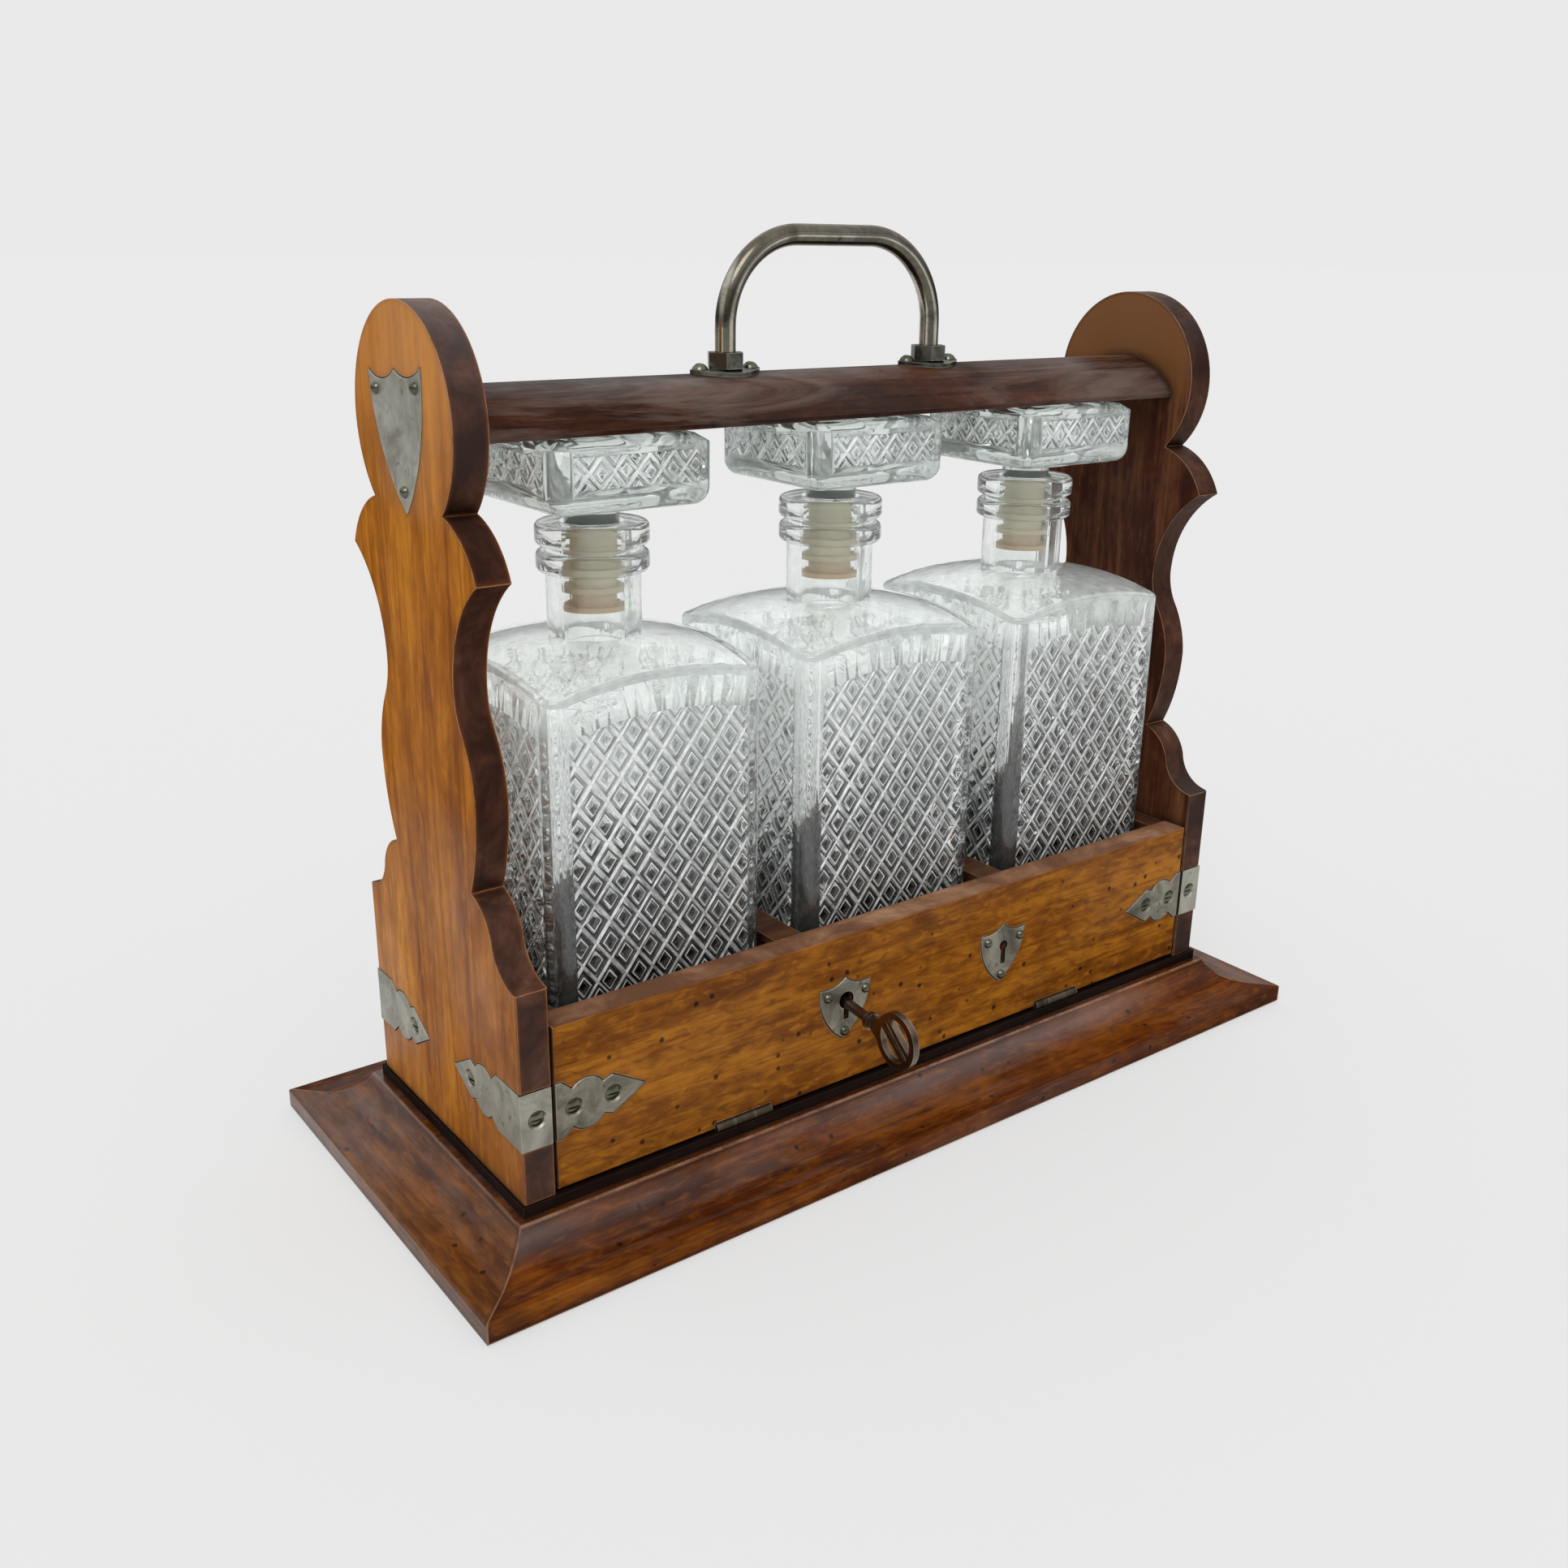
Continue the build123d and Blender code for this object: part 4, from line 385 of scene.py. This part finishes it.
# The side wood's glow lightens its head as painted light.
side_wood = wood("side_wood", "Z", (0.60, 0.235, 0.022), (0.38, 0.125, 0.011),
                 (0.17, 0.045, 0.006), RUBBED, edge=SIDE_EDGE, face_axis="X", shift=3.1,
                 shine=0.27, fleck=0.30, specks=0.12, holes=0.06,
                 sheen=((0.03, 1.0), (0.09, 0.85), (0.14, 0.08), (0.22, 0.03), (0.27, 0.8)),
                 glow=((0.22, 0.0), (0.26, 0.45)))
# Painted shade: the right side's board is a darker copy of the side wood, for the shade on its
# inner face; its glow adds painted light low down and at its head.
shaded_side_wood = wood("shaded_side_wood", "Z", (0.19, 0.080, 0.030), (0.075, 0.022, 0.012),
                        (0.025, 0.009, 0.007), RUBBED, edge=SIDE_EDGE, face_axis="X", shift=4.6,
                        shine=0.07, fleck=0.30, specks=0.12, holes=0.06,
                        glow=((0.05, 0.6), (0.09, 0.0), (0.24, 0.0), (0.26, 1.0)))
front_wood = wood("front_wood", "X", (0.45, 0.170, 0.014), (0.28, 0.093, 0.007),
                  (0.10, 0.026, 0.004), RUBBED,
                  edge=((0.14, 0.060, 0.030), (0.28, 0.14, 0.075), (0.44, 0.26, 0.16)),
                  face_axis="Y", shift=7.7, shine=0.06, fleck=0.65, specks=0.45, holes=0.10)
inner_wood = wood("inner_wood", "X", (0.16, 0.07, 0.028), (0.09, 0.035, 0.014),
                  (0.035, 0.013, 0.007), RUBBED, shift=11.2, gloss=0.5)
base_wood_x = wood("base_wood_x", "X", (0.26, 0.080, 0.007), (0.12, 0.028, 0.004),
                   (0.028, 0.007, 0.003), RUBBED_BASE, shift=1.9, shine=0.62, gloss=0.22,
                   dust_and_sheen=0.24, specks=0.35, holes=0.05, wear=0.9, reach=1.1,
                   sheen=((0.009, 0.12), (0.0135, 1.0)))
base_wood_y = wood("base_wood_y", "Y", (0.24, 0.088, 0.018), (0.125, 0.039, 0.009),
                   (0.035, 0.010, 0.005), RUBBED_BASE, shift=5.3, shine=0.32, gloss=0.25,
                   dust_and_sheen=0.32, specks=0.35, holes=0.05, wear=0.5, reach=0.9,
                   sheen=((0.009, 0.5), (0.0135, 1.0)))
# Painted shade: the plinth board is near black for the shade under the carcass.
shaded_plinth_wood = wood("shaded_plinth_wood", "X", (0.030, 0.014, 0.009), (0.012, 0.006, 0.005),
                   (0.006, 0.004, 0.003), (0.06, 0.035, 0.025), shift=9.9, shine=0.05,
                   specks=0, wear=0.5)
bar_wood = wood("bar_wood", "X", (0.115, 0.038, 0.016), (0.045, 0.016, 0.009),
                (0.011, 0.005, 0.004), (0.22, 0.11, 0.07), shift=13.4, shine=0.10, dust_and_sheen=0.5,
                gloss=0.28, fleck=0.25)
side_plate_metal = metal("side_plate_metal", (0.41, 0.40, 0.335), (0.19, 0.18, 0.145), 0.38,
                         stain=0.7)
# Painted shade: the front's plates and escutcheons are a darker copy of the side plates' metal,
# for the lesser light on the front.
shaded_plate_metal = metal("shaded_plate_metal", (0.30, 0.28, 0.225), (0.09, 0.085, 0.065), 0.38, stain=0.9)
screw_metal = metal("screw_metal", (0.16, 0.16, 0.12), (0.05, 0.05, 0.035), 0.20, stain=0.8,
                    bright_edge=0.0)
rod_metal = metal("rod_metal", (0.15, 0.14, 0.11), (0.05, 0.045, 0.033), 0.16, stain=0.9,
                  brass=0.3, painted_reflection=(0.52, 0.50, 0.43))
collar_metal = metal("collar_metal", (0.17, 0.17, 0.145), (0.025, 0.023, 0.020), 0.30, stain=1.0)
# Dark old brass, darkened further as painted shade for the hinges in the gap under the panel.
brass_metal = metal("brass_metal", (0.12, 0.10, 0.07), (0.03, 0.025, 0.018), 0.45, stain=0.9)
key_metal = metal("key_metal", (0.20, 0.15, 0.11), (0.05, 0.03, 0.022), 0.26, stain=0.8)
# The decanters' glass goes whiter at the shoulder's band, partly worn and partly a painted
# highlight, has a painted glow there, and is darker towards the bottom as painted shade.
clear_glass = glass("clear_glass", (0.965, 0.985, 0.975),
                    scuff_and_highlight=((0.0, 0.02), (0.130, 0.05), (0.163, 0.20), (0.176, 0.22),
                           (0.187, 0.14), (0.190, 0.04)),
                    deep=(0.66, 0.68, 0.67), depth=((0.065, 1.0), (0.10, 0.0)),
                    painted_glow=((0.120, 0.0), (0.162, 0.03), (0.168, 0.09), (0.176, 0.06),
                              (0.180, 0.03), (0.188, 0.025), (0.192, 0.01)))
# The ridges go white, partly worn and partly a painted highlight, with a painted glow.
ridge_glass = glass("ridge_glass", (0.97, 0.985, 0.98), ((0.05, 0.70), (0.10, 0.90)),
                    painted_glow=((0.05, 0.0), (0.12, 0.04)))
# One run of ridges is left less white, as painted shade on the side away from the light.
faint_glass = glass("faint_glass", (0.92, 0.94, 0.93), ((0.05, 0.45), (0.15, 0.65)))
# Painted shade: the pits' glass is tinted dark, near black towards the bottom.
pit_glass = glass("pit_glass", (0.62, 0.65, 0.64), deep=(0.06, 0.065, 0.06),
                  depth=((0.08, 1.0), (0.12, 0.65), (0.165, 0.0)))
# The stoppers go whiter towards the top, partly worn and partly a painted highlight.
stopper_glass = glass("stopper_glass", (0.905, 0.975, 0.94), ((0.19, 0.10), (0.215, 0.24)))
# Each in the order of the kinds below: clear, scuffed and highlit, deep and faint.
DECANTER_GLASSES = (clear_glass, ridge_glass, pit_glass, faint_glass)
STOPPER_GLASSES = (stopper_glass, ridge_glass, pit_glass, faint_glass)
baize_cloth = cloth("baize_cloth", (0.022, 0.055, 0.030), (0.010, 0.025, 0.014))
seal_plug = plug("seal_plug", (0.86, 0.82, 0.64), (0.74, 0.66, 0.45), (0.66, 0.42, 0.20),
                 ((0.188, 1.0), (0.198, 0.0)))

MATERIALS = {
    side_wood: ("side_left",),
    shaded_side_wood: ("side_right",),
    front_wood: ("front_panel",),
    inner_wood: ("back_panel", "floor_board", "divider_left", "divider_right", "end_liner_left",
                 "end_liner_right"),
    base_wood_x: ("base_moulding_front", "base_moulding_back", "base_core_board"),
    base_wood_y: ("base_moulding_left", "base_moulding_right"),
    shaded_plinth_wood: ("plinth_board",),
    bar_wood: ("top_bar",),
    side_plate_metal: ("corner_strap_front_left", "corner_strap_front_right",
                       "corner_strap_rear_left", "corner_strap_rear_right", "shield_plaque_left",
                       "shield_plaque_right"),
    shaded_plate_metal: ("panel_leaf_left", "panel_leaf_right", "escutcheon_left", "escutcheon_right"),
    screw_metal: ("corner_strap_screws", "plaque_pins", "panel_leaf_screws", "escutcheon_pins",
                  "handle_plate_screws"),
    rod_metal: ("handle",),
    collar_metal: ("handle_collars", "handle_plate_left", "handle_plate_right"),
    brass_metal: ("hinge_leaves_fixed", "hinge_leaves_moving", "hinge_pins", "lock_case_left",
                  "lock_case_right", "bolt_left", "bolt_right", "lock_staple_left",
                  "lock_staple_right", "lock_and_hinge_screws", "staple_and_hinge_screws"),
    key_metal: ("key",),
    clear_glass: ("decanter_left", "decanter_middle", "decanter_right"),
    stopper_glass: ("stopper_left", "stopper_middle", "stopper_right"),
    baize_cloth: ("base_baize", "floor_baize"),
    seal_plug: ("seal_left", "seal_middle", "seal_right"),
}
for material, names in MATERIALS.items():
    for name in names:
        mesh = nodes[name].data
        mesh.materials.clear()
        mesh.materials.append(material)


SMOOTH_BELOW = math.radians(32)
PRESSED_SMOOTH_BELOW = math.radians(24)


def smooth(mesh, angle):
    """Shade smooth, with sharp edges from an angle up."""
    mesh.shade_smooth()
    mesh.set_sharp_from_angle(angle=angle)


for node in nodes.values():
    smooth(node.data, SMOOTH_BELOW)

# ---------------------------------------------------------------- pressed glass
RIDGE = 0.25 * MM
CLEAR, SCUFFED_AND_HIGHLIT, DEEP, FAINT = range(4)
DECANTER_CELL = (5.0 * MM, 6.5 * MM)
# Each ring of a pressed diamond: its size, its height, and the glass from it to the next ring.
DECANTER_PROFILE = ((1.0, RIDGE, SCUFFED_AND_HIGHLIT), (0.87, RIDGE, CLEAR), (0.77, -0.75 * MM, DEEP),
                    (0.64, -0.75 * MM, CLEAR), (0.54, 0.0, SCUFFED_AND_HIGHLIT), (0.46, 0.0, CLEAR),
                    (0.26, -0.90 * MM, DEEP))
STOPPER_CELL = (4.1 * MM, 4.6 * MM)
STOPPER_PROFILE = ((1.0, RIDGE, SCUFFED_AND_HIGHLIT), (0.85, RIDGE, CLEAR), (0.75, -0.7 * MM, DEEP),
                   (0.62, -0.7 * MM, CLEAR), (0.48, 0.1 * MM, SCUFFED_AND_HIGHLIT), (0.38, 0.1 * MM, CLEAR),
                   (0.22, -0.5 * MM, DEEP))
MOULD_SEED = 11
PIT_DRIFT = 0.28
PIT_DEPTHS = (0.45, 1.25)
DIAMOND = ((1, 0), (0, 1), (-1, 0), (0, -1))
WELD = 1e-6
CUT_TOLERANCE = 1e-7
FACING_ALIKE = 0.9999
SAME_PLANE = 1e-5


def lattice(cell, profile, half_width, low, high):
    """Pressed diamonds between raised ridges, over a rectangle, in u, v and height. The mould
    was worn, so that pits wander and differ in depth. One run of ridges takes the fainter glass,
    as painted shade on the side that the light does not reach."""
    half_u, half_v = cell
    draw = random.Random(MOULD_SEED)
    grid = bmesh.new()
    columns = int(half_width / half_u) + 2
    rows = int((high - low) / half_v) + 2
    for i in range(-columns, columns + 1):
        for j in range(-1, rows + 1):
            if (i + j) % 2:
                continue
            u, v = i * half_u, low + j * half_v
            drift = Vector((draw.uniform(-PIT_DRIFT, PIT_DRIFT) * half_u,
                            draw.uniform(-PIT_DRIFT, PIT_DRIFT) * half_v))
            depth = draw.uniform(*PIT_DEPTHS)
            rings = []
            for scale, h, _ in profile:
                off = drift * (1 - scale)
                level = h * depth if h < 0 else h
                rings.append([
                    grid.verts.new((u + off.x + dx * scale * half_u,
                                    v + off.y + dy * scale * half_v, level))
                    for dx, dy in DIAMOND
                ])
            for outer, inner, (scale, _, kind) in zip(rings, rings[1:], profile):
                for k in range(4):
                    m = (k + 1) % 4
                    face = grid.faces.new((outer[k], outer[m], inner[m], inner[k]))
                    # Painted shade: one run of ridges takes the fainter glass.
                    face.material_index = FAINT if scale == 1.0 and k % 2 == 0 else kind
            grid.faces.new(rings[-1]).material_index = profile[-1][2]
    bmesh.ops.remove_doubles(grid, verts=grid.verts, dist=WELD)
    return grid


def clip(grid, outline):
    """Cut a lattice to a convex outline, given anticlockwise in u and v."""
    for (u0, v0), (u1, v1) in zip(outline, outline[1:] + outline[:1]):
        bmesh.ops.bisect_plane(
            grid,
            geom=grid.verts[:] + grid.edges[:] + grid.faces[:],
            plane_co=(u0, v0, 0),
            plane_no=(v1 - v0, u0 - u1, 0),
            clear_outer=True,
            dist=CUT_TOLERANCE,
        )


def pressed(node_name, cell, profile, glasses, faces):
    """A copy of a glass node whose flat faces carry a pressed field. faces lists, for each
    flat face, its outward normal, the point that the field is laid out from, and the field's
    outline in u and v."""
    source = nodes[node_name]
    mesh = bmesh.new()
    mesh.from_mesh(source.data)
    bmesh.ops.remove_doubles(mesh, verts=mesh.verts, dist=WELD)
    mesh.normal_update()
    for normal, centre, outline in faces:
        normal = Vector(normal)
        flat = [f for f in mesh.faces if f.normal.dot(normal) > FACING_ALIKE
                and abs((f.calc_center_median() - centre).dot(normal)) < SAME_PLANE]
        bmesh.ops.delete(mesh, geom=flat, context="FACES_ONLY")
        loose = [e for e in mesh.edges if not e.link_faces]
        bmesh.ops.delete(mesh, geom=loose, context="EDGES")
        stray = [v for v in mesh.verts if not v.link_edges]
        bmesh.ops.delete(mesh, geom=stray, context="VERTS")
        rim = [e for e in mesh.edges if len(e.link_faces) == 1]
        across = Vector((0, 0, 1)).cross(normal)
        turn = Matrix((across, (0, 0, 1), normal)).transposed().to_4x4()
        turn.translation = centre
        lows = [v for _, v in outline]
        grid = lattice(cell, profile, max(u for u, _ in outline), min(lows), max(lows))
        clip(grid, outline)
        grid.transform(turn)
        carried = {v: mesh.verts.new(v.co) for v in grid.verts}
        for f in grid.faces:
            mesh.faces.new([carried[v] for v in f.verts]).material_index = f.material_index
        border = [tuple(carried[v] for v in e.verts) for e in grid.edges if len(e.link_faces) == 1]
        grid.free()
        foot = {}
        for pair in border:
            for v in pair:
                if v not in foot:
                    down = v.co - normal * (v.co - centre).dot(normal)
                    level = (down - v.co).length < CUT_TOLERANCE
                    foot[v] = v if level else mesh.verts.new(down)
        inner = []
        for a, b in border:
            corners = list(dict.fromkeys((a, b, foot[b], foot[a])))
            if len(corners) > 2:
                mesh.faces.new(corners)
            ends = (foot[a], foot[b])
            inner.append(mesh.edges.get(ends) or mesh.edges.new(ends))
        bmesh.ops.triangle_fill(mesh, use_beauty=True, use_dissolve=False, normal=normal,
                                edges=rim + inner)
    bmesh.ops.recalc_face_normals(mesh, faces=mesh.faces)
    data = bpy.data.meshes.new(node_name + "_pressed")
    mesh.to_mesh(data)
    mesh.free()
    for kind in glasses:
        data.materials.append(kind)
    smooth(data, PRESSED_SMOOTH_BELOW)
    piece = bpy.data.objects.new(node_name + "_pressed", data)
    bpy.context.scene.collection.objects.link(piece)
    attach(piece, source["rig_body"])
    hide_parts(node_name)


FIELD_HALF_WIDTH = 32.0 * MM
FIELD_BOTTOM = 9.0 * MM
FIELD_SPRING = 127.5 * MM
FIELD_CROWN = 131.5 * MM
ARCH_STEPS = 12
STOPPER_FIELD_HALF_WIDTH = 21.4 * MM
STOPPER_FIELD_HALF_HEIGHT = 4.7 * MM
STOPPER_FIELD_DROP = 9.0 * MM
QUARTERS = ((0, -1, 0), (1, 0, 0), (0, 1, 0), (-1, 0, 0))


def arch_point(step):
    """A point of the arch over the decanter's field, from right to left."""
    u = FIELD_HALF_WIDTH * (1 - 2 * step / ARCH_STEPS)
    return u, FIELD_SPRING + (FIELD_CROWN - FIELD_SPRING) * (1 - (u / FIELD_HALF_WIDTH) ** 2)


DECANTER_FIELD = [(-FIELD_HALF_WIDTH, FIELD_BOTTOM), (FIELD_HALF_WIDTH, FIELD_BOTTOM)]
DECANTER_FIELD += [arch_point(step) for step in range(ARCH_STEPS + 1)]
STOPPER_FIELD = [(-STOPPER_FIELD_HALF_WIDTH, -STOPPER_FIELD_HALF_HEIGHT),
                 (STOPPER_FIELD_HALF_WIDTH, -STOPPER_FIELD_HALF_HEIGHT),
                 (STOPPER_FIELD_HALF_WIDTH, STOPPER_FIELD_HALF_HEIGHT),
                 (-STOPPER_FIELD_HALF_WIDTH, STOPPER_FIELD_HALF_HEIGHT)]


def four_sides(low, high, level, outline):
    """The same field on each of a square piece's four upright faces, laid out from a level."""
    middle = (low + high) / 2
    reach = (high.x - low.x) / 2
    return [(n, Vector((middle.x, middle.y, level)) + Vector(n) * reach, outline)
            for n in QUARTERS]


for place in ("left", "middle", "right"):
    low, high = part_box("decanter_" + place)
    pressed("decanter_" + place, DECANTER_CELL, DECANTER_PROFILE, DECANTER_GLASSES,
            four_sides(low, high, low.z, DECANTER_FIELD))
    low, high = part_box("stopper_" + place)
    pressed("stopper_" + place, STOPPER_CELL, STOPPER_PROFILE, STOPPER_GLASSES,
            four_sides(low, high, high.z - STOPPER_FIELD_DROP, STOPPER_FIELD))

# ---------------------------------------------------------------- stage, light and camera
PAPER = 0.822
FLOOR_TONE = 0.30
FLOOR_GLOW = 0.485
FLOOR_REACH = 30.0
# The studio's brightness, from a low direction to a high one, as pairs of height and value.
STUDIO = ((0.10, 0.10), (0.50, 0.95))
THROUGH_GLASS = ((0.0, 0.50), (0.35, 0.90))
KEY_LIGHT_TOWARDS = (0.55, 0.55, -1.0)
KEY_LIGHT_STRENGTH = 1.1
KEY_LIGHT_SPREAD = math.radians(35)

floor_mesh = bpy.data.meshes.new("floor")
floor_mesh.from_pydata(
    [(-FLOOR_REACH, -FLOOR_REACH, 0), (FLOOR_REACH, -FLOOR_REACH, 0),
     (FLOOR_REACH, FLOOR_REACH, 0), (-FLOOR_REACH, FLOOR_REACH, 0)], [], [(0, 1, 2, 3)])
floor = bpy.data.objects.new("floor", floor_mesh)
bpy.context.scene.collection.objects.link(floor)
paper = Shader("floor_paper")
paper.set(Roughness=1.0)
paper.bsdf.inputs["Base Color"].default_value = (FLOOR_TONE, FLOOR_TONE, FLOOR_TONE, 1)
paper.bsdf.inputs["Specular IOR Level"].default_value = 0.0
paper.bsdf.inputs["Emission Color"].default_value = (1, 1, 1, 1)
paper.bsdf.inputs["Emission Strength"].default_value = FLOOR_GLOW
floor_mesh.materials.append(paper.material)

world = bpy.data.worlds.new("studio")
bpy.context.scene.world = world
world.use_nodes = True
tree = world.node_tree
background = tree.nodes["Background"]
background.inputs["Strength"].default_value = 1.0
sky = tree.nodes.new("ShaderNodeTexCoord")
split = tree.nodes.new("ShaderNodeSeparateXYZ")
tree.links.new(sky.outputs["Generated"], split.inputs["Vector"])


def gradient(low, high):
    """The studio's brightness by the height of a direction, between two pairs."""
    ramp = tree.nodes.new("ShaderNodeValToRGB")
    tree.links.new(split.outputs["Z"], ramp.inputs["Fac"])
    for element, (height, value) in zip(ramp.color_ramp.elements, (low, high)):
        element.position = height
        element.color = (value, value, value, 1)
    return ramp.outputs["Color"]


def choose(ray, there, elsewhere):
    """One brightness for a kind of ray, another for the rest."""
    node = tree.nodes.new("ShaderNodeMix")
    node.data_type = "RGBA"
    tree.links.new(seen.outputs[ray], node.inputs["Factor"])
    for socket, value in (("A", elsewhere), ("B", there)):
        if isinstance(value, tuple):
            node.inputs[socket].default_value = value
        else:
            tree.links.new(value, node.inputs[socket])
    return node.outputs["Result"]


seen = tree.nodes.new("ShaderNodeLightPath")
studio = gradient(*STUDIO)
through_glass = gradient(*THROUGH_GLASS)
lit = choose("Is Transmission Ray", through_glass, studio)
shown = choose("Is Camera Ray", (PAPER, PAPER, PAPER, 1), lit)
tree.links.new(shown, background.inputs["Color"])


light = bpy.data.lights.new("key_light", "SUN")
light.energy = KEY_LIGHT_STRENGTH
light.angle = KEY_LIGHT_SPREAD
lamp = bpy.data.objects.new("key_light", light)
bpy.context.scene.collection.objects.link(lamp)
lamp.rotation_euler = Vector(KEY_LIGHT_TOWARDS).to_track_quat("-Z", "Y").to_euler()

# The camera that the photograph's straight edges were solved for.
CAMERA_PLACE = (-0.32972, -0.41172, 0.29651)
CAMERA_AZIMUTH = math.radians(37.0)
CAMERA_DOWN = math.radians(19.45)
CAMERA_ROLL = math.radians(0.755)
CAMERA_LENS = 34.94
SENSOR = 36.0
CLIP_START = 0.01
CLIP_END = 100.0

camera_data = bpy.data.cameras.new("camera")
camera_data.lens = CAMERA_LENS
camera_data.sensor_width = SENSOR
camera_data.clip_start = CLIP_START
camera_data.clip_end = CLIP_END
camera = bpy.data.objects.new("camera", camera_data)
bpy.context.scene.collection.objects.link(camera)
camera.matrix_world = (
    Matrix.Translation(CAMERA_PLACE)
    @ Matrix.Rotation(-CAMERA_AZIMUTH, 4, "Z")
    @ Matrix.Rotation(math.pi / 2 - CAMERA_DOWN, 4, "X")
    @ Matrix.Rotation(CAMERA_ROLL, 4, "Z")
)
bpy.context.scene.camera = camera
bpy.context.scene.view_settings.view_transform = "Standard"
bpy.context.scene.view_settings.look = "None"
